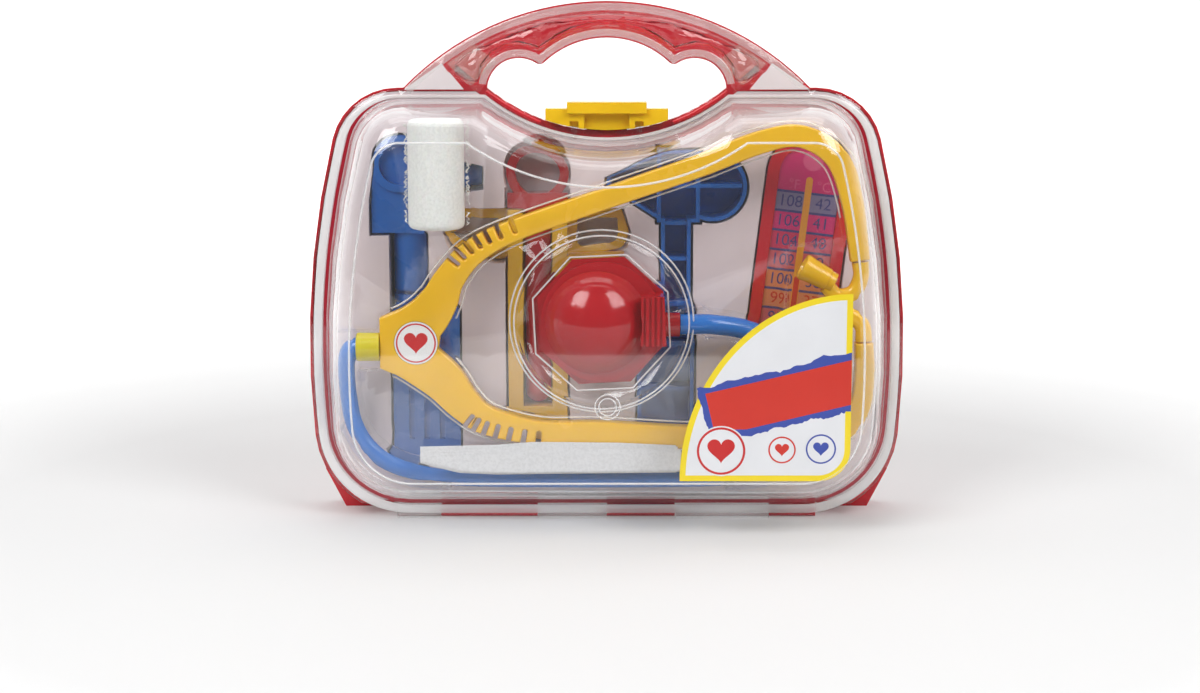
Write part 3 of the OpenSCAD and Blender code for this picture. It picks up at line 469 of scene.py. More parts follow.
def add(tree, kind, sockets=None, **settings):
    """A new shader node with its settings. Its sockets, by name or number, each take a value or the output
    that they are linked to."""
    node = tree.nodes.new("ShaderNode" + kind)
    for key, value in settings.items():
        setattr(node, key, value)
    for key, value in (sockets or {}).items():
        if isinstance(value, bpy.types.NodeSocket):
            tree.links.new(value, node.inputs[key])
        else:
            node.inputs[key].default_value = value
    return node


def noise(tree, where, scale, detail=2):
    """Output of a noise of so many grains a metre."""
    return add(tree, "TexNoise", {"Vector": where, "Scale": scale, "Detail": detail}).outputs["Fac"]


def between(tree, value, low, high, start=0.0, end=1.0):
    """Output that goes from low to high as the value goes from start to end."""
    return add(tree, "MapRange", {"Value": value, "From Min": start, "From Max": end,
                                  "To Min": low, "To Max": high}).outputs["Result"]


def maths(tree, operation, a, b):
    """Output of a Math node."""
    return add(tree, "Math", {0: a, 1: b}, operation=operation).outputs["Value"]


def two_tones(tree, value, start, end, dark, pale):
    """Output that goes from the dark colour to the pale one as the value goes from start to end."""
    tones = add(tree, "ValToRGB", {"Fac": value})
    for spot, position, colour in zip(tones.color_ramp.elements, (start, end), (dark, pale)):
        spot.position, spot.color = position, [*colour, 1]
    return tones.outputs["Color"]


def surface(m, shader):
    """Puts a shader on a material."""
    add(m.node_tree, "OutputMaterial", {"Surface": shader.outputs[0]})
    return m


def plastic(name, colour, rough=0.28, grain=0.04, tone=0.06, sub=0.0, round_edge=0.35, coat=0.0):
    """Moulded plastic: tone varies over centimetres, a fine grain roughens the gloss, and edges are eased."""
    m, tree = new_material(name)
    where = add(tree, "TexCoord").outputs["Object"]
    flow = noise(tree, where, 38, 3)
    bump = {"Strength": grain, "Distance": 0.0002, "Height": noise(tree, where, 2400)}
    if round_edge:
        bump["Normal"] = add(tree, "Bevel", {"Radius": round_edge * MM}, samples=3).outputs["Normal"]
    return surface(m, add(tree, "BsdfPrincipled", {
        "Base Color": two_tones(tree, flow, 0.3, 0.7, [c * (1 - tone) for c in colour],
                                [min(1, c * (1 + tone) + 0.004) for c in colour]),
        "Roughness": between(tree, flow, rough - 0.05, rough + 0.07),
        "Normal": add(tree, "Bump", bump).outputs["Normal"],
        "Coat Weight": coat,
        "Coat Roughness": 0.08,
        "Subsurface Weight": sub,
        "Subsurface Radius": (1.0, 0.5, 0.3),
        "Subsurface Scale": 0.004,
    }))


def clear_plastic(name, colour, rough=0.1, wave=0.03, haze=0.0):
    """Clear moulded plastic: a thin wall that hardly bends what is seen through it, under a wavy gloss. Haze is
    its share of white scatter. Shadow rays, light on its way to a matt surface and rays that have bent many
    times go straight through, so lamps reach what is inside."""
    m, tree = new_material(name)
    slow = noise(tree, add(tree, "TexCoord").outputs["Object"], 30)
    ripple = add(tree, "Bump", {"Strength": wave, "Distance": 0.001, "Height": slow}).outputs["Normal"]
    wall = add(tree, "BsdfPrincipled", {
        "Base Color": (*colour, 1),
        "Roughness": between(tree, slow, rough, rough + 0.02),
        "Normal": ripple,
        "IOR": 1.06,
        "Transmission Weight": 1.0 - haze,
        "Coat Weight": 1.0,
        "Coat IOR": 1.55,
        "Coat Roughness": 0.03,
        "Coat Normal": ripple,
    })
    ray = add(tree, "LightPath").outputs
    through = add(tree, "BsdfTransparent", {"Color": (0.985, 0.985, 0.985, 1)}).outputs["BSDF"]
    late = maths(tree, "GREATER_THAN", ray["Ray Depth"], 7.5)
    straight = maths(tree, "MAXIMUM", late, ray["Is Diffuse Ray"])
    bent = add(tree, "MixShader", {"Fac": straight, 1: wall.outputs["BSDF"], 2: through}).outputs["Shader"]
    return surface(m, add(tree, "MixShader", {"Fac": ray["Is Shadow Ray"], 1: bent, 2: through}))


def soft_sheet(name, colour, rough=0.6, weave=0.0, sub=0.0):
    """Paper or gauze: a matt felt that lets a little light in, with the rows of a crepe where weave gives
    their scale."""
    m, tree = new_material(name)
    where = add(tree, "TexCoord").outputs["Object"]
    felt = noise(tree, where, 900, 4)
    relief = add(tree, "Bump", {"Distance": 0.0003, "Strength": 0.25, "Height": felt}).outputs["Normal"]
    if weave:
        rows = add(tree, "TexWave", {"Vector": where, "Scale": weave, "Distortion": 5.0, "Detail": 2},
                   bands_direction="X").outputs["Fac"]
        relief = add(tree, "Bump", {"Distance": 0.0004, "Strength": 0.22, "Height": rows,
                                    "Normal": relief}).outputs["Normal"]
    return surface(m, add(tree, "BsdfPrincipled", {
        "Base Color": two_tones(tree, felt, 0.35, 0.6, [c * 0.9 for c in colour], colour),
        "Roughness": rough,
        "Normal": relief,
        "Sheen Weight": 0.3 if weave else 0.05,
        "Subsurface Weight": sub,
        "Subsurface Scale": 0.003,
    }))


# Finishes by key: how they are made, the material's name, its colour or the setting that holds it, and more
RECIPES = {
    "clear": (clear_plastic, "clear_styrene", (0.985, 0.99, 0.995), {"rough": 0.015}),
    "sheet": (clear_plastic, "clear_formed_sheet", (0.99, 0.99, 0.99), {"rough": 0.03, "wave": 0.05}),
    # The next four clear finishes are hazed white as painted highlights on the moulded edges, beads, handle
    # bands and thin windows
    "edge": (clear_plastic, "clear_bright_edge", (0.97, 0.96, 0.96), {"haze": 0.55}),
    "line": (clear_plastic, "clear_fine_edge", (0.98, 0.98, 0.98), {"rough": 0.08, "haze": 0.42}),
    "hand": (clear_plastic, "clear_handle_edge", (0.97, 0.94, 0.93), {"haze": 0.22}),
    "window": (clear_plastic, "clear_thin_window", (0.96, 0.94, 0.95), {"haze": 0.6}),
    "salmon": (clear_plastic, "clear_grip_end", (0.97, 0.84, 0.76), {"haze": 0.12}),
    "clip": (plastic, "yellow_clip_plastic", (0.95, 0.57, 0.012), {"rough": 0.2, "sub": 0.15, "coat": 0.2}),
    "rim_line": (plastic, "dark_red_rib", (0.42, 0.004, 0.02), {"rough": 0.2}),
    "red": (plastic, "red_styrene", "red", {"rough": 0.22, "tone": 0.025, "coat": 0.2}),
    "toy_red": (plastic, "red_toy_plastic", (0.47, 0.006, 0.012), {"rough": 0.12, "coat": 0.3}),
    "yellow": (plastic, "yellow_toy_plastic", "yellow", {"rough": 0.25, "sub": 0.12, "coat": 0.15}),
    "blue": (plastic, "blue_toy_plastic", "blue", {"rough": 0.27}),
    "hose": (plastic, "blue_soft_hose", (0.03, 0.19, 0.62), {"rough": 0.2, "sub": 0.15, "coat": 0.3}),
    "lime": (plastic, "lime_sleeve", (0.72, 0.60, 0.03), {"rough": 0.2, "sub": 0.3, "coat": 0.3}),
    "tray": (plastic, "pale_formed_sheet", "tray", {"rough": 0.38, "tone": 0.04, "round_edge": 0.5}),
    "gauze": (soft_sheet, "gauze", (0.92, 0.91, 0.87), {"rough": 0.85, "weave": 170, "sub": 0.1}),
    "thread": (soft_sheet, "gauze_thread", (0.85, 0.84, 0.8), {"rough": 0.8}),
    "paper": (soft_sheet, "leaflet_paper", (0.76, 0.76, 0.77), {"rough": 0.55}),
}
# Printed films: an even colour with faint press mottling under a satin varnish
VARNISH = {"rough": 0.32, "grain": 0.02, "tone": 0.03, "round_edge": 0}
INKS = {
    "label_yellow": (0.93, 0.72, 0.02),
    "label_white": (0.82, 0.83, 0.86),
    "band_red": (0.66, 0.035, 0.02),
    "band_blue": (0.045, 0.08, 0.40),
    "badge_red": (0.60, 0.02, 0.02),
    "badge_white": (0.85, 0.84, 0.83),
    "card_magenta": (0.62, 0.02, 0.16),
    "card_slate": (0.20, 0.17, 0.30),
    "card_crimson": (0.60, 0.03, 0.10),
    "card_salmon": (0.60, 0.10, 0.12),
    "card_orange": (0.70, 0.22, 0.10),
    "card_line": (0.05, 0.05, 0.20),
    "card_gold": (0.80, 0.33, 0.03),
    "card_pink": (0.72, 0.10, 0.25),
}
MADE = {}


def finish(key):
    """The material of that key, made once."""
    if key not in MADE:
        maker, name, colour, more = RECIPES.get(key) or (plastic, key, INKS[key], VARNISH)
        if isinstance(colour, str):
            colour = getattr(bpy.context.scene.case_colours, colour)[:]
        MADE[key] = maker(name, colour, **more)
    return MADE[key]


# Stage

# Lamps: name, place, aim, width and height in metres, and power in watts
LAMPS = (
    ("softbox_left", (-0.95, -1.15, 1.35), (0, 0, 0.1), (0.85, 1.0), 19.5),
    ("softbox_right", (1.05, -1.05, 1.30), (0, 0, 0.1), (0.85, 1.0), 17.0),
    ("overhead", (0.0, 0.25, 1.9), (0, 0.1, 0), (1.6, 1.2), 11.0),
)
CAMERA_AT, CAMERA_DOWN, SENSOR, LENS = (-0.003, -0.9797, 0.2475), 9.7, 36.0, 66.0
WHITE = (1, 1, 1, 1)


def backdrop_material():
    """Pale floor: a grey that takes the shadow, and a glow that grows with the distance from the case and that
    only the camera, glosses and clear walls see."""
    m, tree = new_material("pale_backdrop")
    base = add(tree, "BsdfPrincipled", {"Base Color": (0.66, 0.66, 0.66, 1), "Roughness": 0.7})
    where = add(tree, "TexCoord").outputs["Object"]
    far = add(tree, "VectorMath", {0: where}, operation="LENGTH").outputs["Value"]
    level = between(tree, far, 0.13, 0.80, 0.30, 0.85)
    ray = add(tree, "LightPath").outputs
    seen = maths(tree, "MAXIMUM", ray["Is Camera Ray"], ray["Is Glossy Ray"])
    seen = maths(tree, "MAXIMUM", seen, ray["Is Transmission Ray"])
    glow = add(tree, "Emission", {"Color": WHITE, "Strength": maths(tree, "MULTIPLY", seen, level)})
    return surface(m, add(tree, "AddShader", {0: base.outputs["BSDF"], 1: glow.outputs["Emission"]}))


def backdrop():
    """Floor with a sweep up to a wall behind the case, in metres."""
    half, front, back, sweep_y, sweep_z, top = 3.2, -0.5, 0.9, 0.8, 0.8, 3.0
    bend = np.radians(np.linspace(0, 90, 25))
    y = np.concatenate([[front, back], back + sweep_y * np.sin(bend), [back + sweep_y]])
    z = np.concatenate([[0, 0], sweep_z - sweep_z * np.cos(bend), [top]])
    x, y, z = np.broadcast_arrays(np.array([-half, half]), y[:, None], z[:, None])
    faces = [grid_faces(len(y), 2, wrap_cols=False)]
    floor = make("backdrop", np.stack([x, y, z], -1), faces, backdrop_material(), closed=False, smooth=80)
    if floor.data.polygons[0].normal.z < 0:
        floor.data.flip_normals()


def studio_world():
    """Pale behind the case and a dim room in front of it. Seen directly it is white."""
    world = bpy.data.worlds.new("studio")
    world.use_nodes = True
    tree = world.node_tree
    way = add(tree, "SeparateXYZ", {0: add(tree, "TexCoord").outputs["Generated"]}).outputs["Y"]
    room = between(tree, way, 0.16, 0.9, -0.25, 0.45)
    strength = maths(tree, "MAXIMUM", add(tree, "LightPath").outputs["Is Camera Ray"], room)
    sky = tree.nodes["Background"]
    sky.inputs["Color"].default_value = WHITE
    tree.links.new(strength, sky.inputs["Strength"])
    return world


class CASE_OT_stage(bpy.types.Operator):
    """Set up the pale floor, the soft lamps and the camera."""
    bl_idname = "case.stage"
    bl_label = "Stage"

    def execute(self, context):
        backdrop()
        context.scene.world = studio_world()
        for name, spot, aim, size, power in LAMPS:
            lamp = bpy.data.lights.new(name, "AREA")
            lamp.shape, lamp.size, lamp.size_y, lamp.energy = "RECTANGLE", *size, power
            obj = linked(name, lamp)
            obj.location = spot
            obj.rotation_euler = (Vector(aim) - Vector(spot)).to_track_quat("-Z", "Y").to_euler()
        cam = bpy.data.cameras.new("camera")
        cam.sensor_width, cam.lens = SENSOR, LENS
        obj = linked("camera", cam)
        obj.location = CAMERA_AT
        obj.rotation_euler = (math.radians(90 - CAMERA_DOWN), 0, 0)
        context.scene.camera = obj
        context.scene.view_settings.view_transform = "Standard"
        return {"FINISHED"}


# Case

# Solids shown by a copy of their mesh: node, piece, finish, body, slot, rounding of the edges, its segments,
# and the angle in degrees from which an edge is rounded
SOLIDS = (
    ("back_shell", "base_red", "red", "base", "red_case", 0, 0, 26),
    ("front_shell", "lid_clear", "clear", "lid", "clear_lid", 0, 0, 26),
    ("tray", "tray_formed", "tray", "base", "pale_tray", 0.35),
    ("front_insert", "insert_formed", "sheet", "lid", "clear_insert", 0),
    ("latch", "clip_yellow", "clip", "clip", "yellow_clip", 0.5, 3),
    ("chest_base", "chest_back", "toy_red", "lid", "red_toy", 0.5, 3),
    ("chest_grip", "grip_ribbed", "toy_red", "lid", "red_toy", 0.25),
    ("otoscope_head", "otoscope_head_eased", "blue", "base", "blue_toy", 1.2, 3),
    ("otoscope_cone", "otoscope_cone_eased", "blue", "base", "blue_toy", 0.5, 3),
    ("otoscope_handle", "otoscope_handle_eased", "blue", "base", "blue_toy", 0.7, 3),
    ("syringe_barrel", "syringe_barrel_eased", "yellow", "base", "yellow_toy", 0.5, 3),
    ("syringe_plunger", "syringe_plunger_eased", "toy_red", "plunger", "red_toy", 0.6, 3),
    ("reflex_hammer", "reflex_hammer_eased", "blue", "base", "blue_toy", 0.4, 3),
    ("thermometer_body", "thermometer_body_eased", "red", "base", "red_toy", 0.7, 3),
)
# Outlines on the right of the handle: the thin window at its foot, hazed white as a painted highlight, and the
# pale end of the grip
WINDOW = ((90.2, 195.4), (73.4, 207.0), (68.5, 201.5), (63.5, 195.4))
GRIP_END = ((71, 206.9), (58.5, 215.2), (48.5, 207.2), (53, 204.6), (57.4, 200.2), (60.5, 197.2))
# Heights of the foot and the top of the insert's raised ring, of its pockets' edges and of the lid's panel
RING_FOOT_H, RING_TOP_H, POCKET_H, PANEL_H = 18.05, 22.0, 18.1, 45.45


class CASE_OT_solids(bpy.types.Operator):
    """Give the moulded and formed solids their finishes, with evenly shaded walls and rounded edges."""
    bl_idname = "case.solids"
    bl_label = "Moulded solids"

    def execute(self, context):
        for row in SOLIDS:
            copy_solid(*row)
        return {"FINISHED"}


def insert_edges():
    """Edges of the formed insert, hazed white as painted highlights: the octagon on its raised ring and the
    headset's pockets.
    """
    octagon = turned(circle((0, 0), 32.4, 8), CHEST_TURN, CHEST_C)
    t = np.linspace(0, 1, 9)[:-1, None]
    sides = np.vstack([p * (1 - t) + q * t for p, q in zip(octagon, np.roll(octagon, -1, 0))])
    bead("octagon_edge", sides, RING_TOP_H + 0.05, 0.4)
    wide = np.array([0, 0, 3.4])
    up, low = smooth_rows(UPPER_ARM + wide, 8), smooth_rows(LOWER_ARM + wide, 8)
    curves = (edge_of(up, 1)[8:-6], edge_of(up, -1)[22:-6], edge_of(low, 1)[22:-6], edge_of(low, -1)[8:-6])
    for k, curve in enumerate(curves):
        bead("yoke_pocket_edge_%d" % k, curve, POCKET_H, 0.4, wrap=False)


def grip_core():
    """The red half of the grip as it shows between the hand hole and the handle's outer arc."""
    inset, half_w, foot_h, top_h = 5.0, 69.0, 6.5, 0.5
    low = hand_edge(inset)
    x = low[:, 0] * half_w / low[-1, 0]
    high = np.stack([x, HANDLE_CZ + np.sqrt((HANDLE_R - inset) ** 2 - x * x)], 1)
    band("grip_core", low, high, foot_h, top_h, "red", "base", ease=0.25)


def dip_ridge(name, s):
    """Red ridge beside the clip along the dip, on the right where s is 1: a bead that swells from its ends."""
    steps, n, r, half_w, half_h = 16, 12, DIP_R + 1.5, 1.3, 1.1
    t = np.radians(np.linspace(*sorted((-90 + s * 20.4, -90 + s * 39.2)), steps))
    out = np.stack([np.cos(t), np.sin(t)], 1)
    a = TURN * np.arange(n) / n
    lift = np.sin(np.pi * np.clip(np.arange(steps) / (steps - 1), 0.06, 0.94)) ** 0.25
    xz = (0, DIP_CZ) + (r + half_w * lift[:, None, None] * np.cos(a)[None, :, None]) * out[:, None]
    h = FLANGE_T + 0.2 + half_h * lift[:, None] * np.sin(a)[None]
    ridge = loft(name, place(xz, h, LID_SIDE), finish("red"), "lid", smooth=60)


class CASE_OT_edges(bpy.types.Operator):
    """Lay the moulded edges on the lid, hazed white as painted highlights, the red rib behind its rim and
    the ridges along the dip.
    """
    bl_idname = "case.edges"
    bl_label = "Edges and ribs"

    def execute(self, context):
        foot, top = FLANGE_T - 0.3, FLANGE_T + sizes().rim_round / MM
        # The white of the hazed bands on the rim, the handle and the hand hole is painted highlight
        band("rim_edge", outline(2.2, 2.2, 2.9), outline(5.9, 6.1, 4.4), foot, top, "edge", wrap=True)
        band("rim_rib", outline(6.1, 6.3, 3.4), outline(7.8, 8.1, 4.4), -0.24, 0.02, "rim_line",
             "base", wrap=True)
        bead("panel_edge", outline(22.9, 25.7, 21.1), PANEL_H, 0.5)
        for k, (radius, h) in enumerate(((38.9, RING_TOP_H), (41.0, RING_FOOT_H))):
            bead("boss_edge_%d" % k, circle(CHEST_C, radius, 96), h, 0.4)
        for k, radius in enumerate((3.8, 5.5)):
            bead("gate_ring_%d" % k, circle((0.3, 60.0), radius, 40), PANEL_H + 0.21, 0.3)
        insert_edges()
        band("handle_edge", handle_arc(0.7), handle_arc(4.1), foot, top, "hand")
        band("hole_edge", hand_edge(0.7), hand_edge(3.9), foot, top, "hand")
        grip_core()
        for s, side in ((-1, "left"), (1, "right")):
            for name, pts, h, key in (("window_", WINDOW, FLANGE_T + 0.02, "window"),
                                      ("grip_end_", GRIP_END, 1.2, "salmon")):
                pane = sheet_of(name + side, np.array(pts) * (s, 1), h, h + 0.3, LID_SIDE, finish(key))
                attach(pane, "lid")
            dip_ridge("dip_ridge_" + side, s)
        return {"FINISHED"}


# Headset, hose and chest piece

# Middle lines of the arms as x, z, width
UPPER_ARM = np.array([
    (-101, 84, 22.5), (-90, 88, 22), (-81, 94.5, 20), (-74.5, 103, 17), (-69.5, 113, 13.5),
    (-59.3, 124.7, 11.6), (-40.6, 134.5, 9.6), (-3, 147.7, 9.4), (41, 163.1, 10), (67.2, 173.2, 10),
    (84.8, 176, 10), (100.8, 166.6, 10.4), (108.4, 147, 10), (112.4, 121, 9),
])
LOWER_ARM = np.array([
    (-101, 84, 22.5), (-90, 80, 22), (-81, 73.5, 20), (-72.5, 66.5, 18.5), (-63.5, 56, 15),
    (-53, 48.6, 12.6), (-30.3, 43.2, 10.8), (-3, 43, 10.6), (40.4, 41, 10), (88, 41, 10),
    (105, 44.5, 10), (113.8, 56, 10), (115.4, 70, 9.4), (115, 84, 8.6),
])
# Ear hooks: the middle line, and the plug's foot and direction
HOOKS = {
    "upper": (((112.7, 120.3, 8.4), (113, 113.4, 7.6), (109.4, 106.4, 7), (102.4, 105, 7), (97.4, 109.6, 7)),
              (98, 112.4), 152),
    "lower": (((115, 84.7, 8.4), (114, 91.4, 7.6), (108.2, 96, 7), (101.4, 94.2, 7), (97.4, 88.4, 7)),
              (97, 86), 210),
}
# Turned profiles as distance along the axis, radius
PLUG_PROFILE = (
    (-3, 4.3), (0, 4.5), (0.2, 4.9), (9, 5.55), (11.6, 5.9), (12.7, 5.6), (13, 5.0), (12.9, 4.2),
    (11.4, 3.2), (9.0, 2.6), (8.8, 0.4),
)
SLEEVE_PROFILE = (
    (-111.5, 5.3), (-111.5, 6.0), (-111.1, 6.4), (-101.6, 6.4), (-101.15, 6.0), (-101.15, 1.0),
    (-104.6, 1.0), (-104.6, 5.0), (-111.3, 5.0),
)
# Middle line of the hose as x, z, height
HOSE_WAY = (
    (-106, 82, 18), (-110.2, 82, 18), (-115, 80, 17.6), (-117, 75, 16.4), (-117.4, 67, 14), (-117, 58, 11),
    (-115, 47, 9), (-109, 36, 8.5), (-98, 27, 8.5), (-80, 21.5, 8.5), (-57, 19.5, 8.5), (-20, 19, 8.5),
    (20, 19, 8.5), (50, 20, 8.5), (70, 23, 8.5), (87, 31, 8.5), (95.5, 43.5, 8.5), (94, 61, 8.5),
    (83.5, 77, 8.5), (65, 87.6, 10), (49, 91.2, 13.6), (40, 91.6, 14.3), (32.9, 91.6, 14.3),
)
SLOT_DEPTH, SLOT_R = 6.4, 1.15


def slotted(c, s, first, slots):
    """Edge of an arm from place first to its end, with round-ended slots cut in at the given places."""
    edge, u = edge_of(c, s), headings(c)
    a = np.linspace(0, np.pi, 9)[:, None]
    parts = []
    for i in range(first, len(c)):
        if i in slots:
            n, along = left_of(u)[i] * s, u[i] * SLOT_R
            end = edge[i] - n * (SLOT_DEPTH - SLOT_R) - n * SLOT_R * np.sin(a) - along * np.cos(a)
            parts += [[edge[i] - along], end, [edge[i] + along]]
        else:
            parts.append([edge[i]])
    return np.vstack(parts)


def yoke_outline():
    """Outline of the headset yoke: out and back along the upper arm, then the lower one, with seven slots in
    each arm's outer edge."""
    up, low = smooth_rows(UPPER_ARM, 8), smooth_rows(LOWER_ARM, 8)
    slots = range(36, 49, 2)
    top, bottom = slotted(up, 1, 6, slots), slotted(low, -1, 6, slots)[::-1]
    neck = UPPER_ARM[0, :2] + np.array([(0, -1), (0, 1)]) * UPPER_ARM[0, 2] / 2
    return np.vstack([neck, top, edge_of(up, -1)[16:][::-1], edge_of(low, 1)[16:], bottom])


def ear_arm(name, c, mid_h, half_h, material, n=24, power=2.6):
    """A rounded-square section, cos and sin raised to 2/power, carried along a curve of x, z, width."""
    a = TURN * np.arange(n) / n
    across, up = (np.sign(v) * np.abs(v) ** (2 / power) for v in (np.cos(a), np.sin(a)))
    out = -0.5 * across[None, :, None] * c[:, None, 2:3] * left_of(headings(c))[:, None]
    return loft(name, place(c[:, None, :2] + out, mid_h + half_h * up, LID_SIDE), material, smooth=50)


class CASE_OT_headset(bpy.types.Operator):
    """Make the headset: the slotted yoke with its badge's seat, the two ear pieces and the sleeve."""
    bl_idname = "case.headset"
    bl_label = "Headset"

    def execute(self, context):
        yellow = finish("yellow")
        top = YOKE_H + YOKE_T
        yoke = plate("yoke_yellow", yoke_outline(), YOKE_H, top, LID_SIDE, 0.85, yellow)
        seat = lathe("badge_seat", [(top - 0.8, BADGE_R + 0.2), (top + 1, BADGE_R + 0.2)],
                     at_height(BADGE_C, 0), TO_VIEWER, yellow, n=64)
        cut_from(yoke, seat, 34)
        yoke.data.materials.clear()
        yoke.data.materials.append(yellow)
        stand_in(yoke, "lid", "stethoscope_yoke")
        for label, (hook, foot, turn) in HOOKS.items():
            arm = ear_arm("hook_" + label, smooth_rows(hook, 8), HOOK_H, HOOK_HALF_T, yellow)
            a = math.radians(turn)
            tip = lathe("plug_" + label, PLUG_PROFILE, at_height(foot, PLUG_H), (math.cos(a), 0, math.sin(a)),
                        yellow, n=40, smooth=30)
            whole = join("ear_piece_" + label, [arm, tip], smooth=34)
            stand_in(whole, "lid", "ear_tip_" + label)
        sleeve = lathe("sleeve_lime", SLEEVE_PROFILE, at_height(SLEEVE_C, SLEEVE_H), (1, 0, 0),
                       finish("lime"), smooth=30)
        stand_in(sleeve, "lid", "hose_connector")
        return {"FINISHED"}


class CASE_OT_hose(bpy.types.Operator):
    """Lay the blue hose along its channel, from the sleeve round the foot of the lid to the chest piece."""
    bl_idname = "case.hose"
    bl_label = "Hose"

    def execute(self, context):
        way = smooth_rows(HOSE_WAY, 7)
        p = place(way, way[:, 2], LID_SIDE)
        d = unit(np.gradient(p, axis=0))
        side = unit(np.cross(d, (0, 1.0, 0)))
        up = np.cross(side, d)
        a = TURN * np.arange(24)[None, :, None] / 24
        rings = p[:, None] + HOSE_R * MM * (np.cos(a) * side[:, None] + np.sin(a) * up[:, None])
        hose = loft("hose_blue", rings, finish("hose"), smooth=60)
        stand_in(hose, "lid", "stethoscope_tube")
        return {"FINISHED"}


class CASE_OT_chest(bpy.types.Operator):
    """Turn the stepped dome of the chest piece from part of a ball."""
    bl_idname = "case.chest"
    bl_label = "Dome"

    def execute(self, context):
        ball = (DOME_R ** 2 + DOME_RISE ** 2) / (2 * DOME_RISE)
        r = np.linspace(DOME_R, 0.3, 44)
        drop, first, wide = 0.22, 1.6, 1.9
        h = DOME_H + DOME_RISE - ball + np.sqrt(ball ** 2 - r ** 2)
        for k in range(sizes().dome_steps):
            h = h - drop * (r > DOME_R - first - wide * k)
        h = np.maximum(h, DOME_H - 0.6)
        foot = [(DOME_H - 2, DOME_R - 0.3), (DOME_H - 1.7, DOME_R), (DOME_H - 0.8, DOME_R)]
        dome = lathe("dome_red", foot + list(zip(h, r)), at_height(DOME_C, 0), TO_VIEWER,
                     finish("toy_red"), n=96, smooth=24)
        stand_in(dome, "lid", "chest_dome")
        return {"FINISHED"}


# Gauze and leaflet

THREAD_R = 0.26


class CASE_OT_gauze(bpy.types.Operator):
    """Wind the gauze roll from one strip and fray its sides."""
    bl_idname = "case.gauze"
    bl_label = "Gauze roll"

    def execute(self, context):
        rng = np.random.default_rng(7)
        turns, per, round_r = 9, 40, 3.0
        pitch = (ROLL_R - 1.2) / turns
        a = np.linspace(0, TURN * turns, turns * per + 1)
        outer = 0.9 + pitch * a / TURN
        radius = np.concatenate([outer, np.maximum(outer - pitch + 0.25, 0.25)[::-1]])
        angle = np.concatenate([a, a[::-1]]) + math.radians(200)
        z0, z1 = ROLL_C[1] - ROLL_L / 2 + 0.6, ROLL_C[1] + ROLL_L / 2 - 0.6
        near = np.array([0, 0.25, 0.7, 1.3, 2.1, round_r])
        levels = np.concatenate([z0 + near, np.linspace(z0 + 6, z1 - 6, 6), z1 - near[::-1]])
        z = np.broadcast_to(levels[:, None], (len(levels), len(radius))).copy()
        z[[0, -1]] += rng.normal(0, 0.16, (2, len(radius)))
        # The ends are rounded over by round_r
        short = round_r - np.minimum(np.minimum(levels - z0, z1 - levels), round_r)
        shrink = 1 - (round_r - np.sqrt(round_r ** 2 - short ** 2)) / ROLL_R
        reach = radius[None] * shrink[:, None]
        xz = ROLL_C[0] + reach * np.cos(angle), z
        h = ROLL_H + reach * np.sin(angle)
        strip = loft("gauze_strip", place(xz, h, LID_SIDE), finish("gauze"), smooth=60)
        roll = join("gauze_roll", [strip, *self.threads(rng, z0 + 2, z1 - 2)], smooth=60)
        stand_in(roll, "lid", "bandage_roll")
        return {"FINISHED"}

    def threads(self, rng, low, high):
        """Loose threads that bow out of the roll's sides between two heights."""
        t = np.linspace(0, 1, 7)
        ring = np.array([(1, 0, 0), (0, 1, 0), (-1, 0, 0), (0, -1, 0)]) * THREAD_R * MM
        made = []
        for side in (-1, 1):
            for z in rng.uniform(low, high, sizes().fringe):
                h = ROLL_H + rng.uniform(-2, 4)
                sway = rng.uniform(-2.2, 2.2, 3)
                reach = rng.uniform(0.5, 1.5)
                bow = ROLL_C[0] + side * ROLL_R * 0.985 + side * reach * np.sin(t * np.pi)
                curl = z + sway[0] * t + 0.5 * sway[1] * np.sin(3 * t)
                pts = place((bow, curl), h + sway[2] * t, LID_SIDE)
                made.append(loft("thread", pts[:, None] + ring[None], finish("thread"), smooth=70))
        return made


class CASE_OT_leaflet(bpy.types.Operator):
    """Fold the plain leaflet from four layers of paper."""
    bl_idname = "case.leaflet"
    bl_label = "Leaflet"

    def execute(self, context):
        low = np.array([(-83.5, 29.8), (-66.5, 25.4), (-49.5, 24.6), (31, 25.6)])
        high = np.array([(-83.5, 37.4), (-50, 38.2), (-32.5, 39.6), (5, 39.2), (31, 38)])
        first_h, step_h, half_t = 22.42, 0.28, 0.06
        x = np.linspace(low[0, 0], low[-1, 0], 40)
        v = np.linspace(0, 1, 8)[:, None]
        fan = 1.5 - 0.9 * (x - x[0]) / (x[-1] - x[0])
        rows, cols = 2 * len(v), len(x)
        side = np.arange(rows) * cols
        faces = [grid_faces(rows, cols, wrap_rows=True, wrap_cols=False), side, (side + cols - 1)[::-1]]
        layers = []
        for k in range(4):
            bottom = np.interp(x, *low.T) + 0.35 * k
            top = np.interp(x, *high.T) - k * fan
            z = bottom + (top - bottom) * v
            wave = 0.10 * np.sin(x / 17 + k) * np.cos(2.2 * v + k)
            h = first_h + step_h * k + wave * (k < 3)
            across = x + (0.7 * k if k % 2 else 0)
            under = place((across, z), np.clip(h - half_t, 22.3, 23.5), LID_SIDE)
            over = place((across, z), np.clip(h + half_t, 22.36, 23.5), LID_SIDE)
            layers.append(make("layer", np.concatenate([under, over[::-1]]), faces, finish("paper"), smooth=45))
        paper = join("leaflet_folded", layers, smooth=45)
        stand_in(paper, "lid", "leaflet")
        return {"FINISHED"}


# Prints

LABEL_C, LABEL_W, LABEL_H, LABEL_CORNER = (106.4, 27.0), 74.6, 82.8, 14


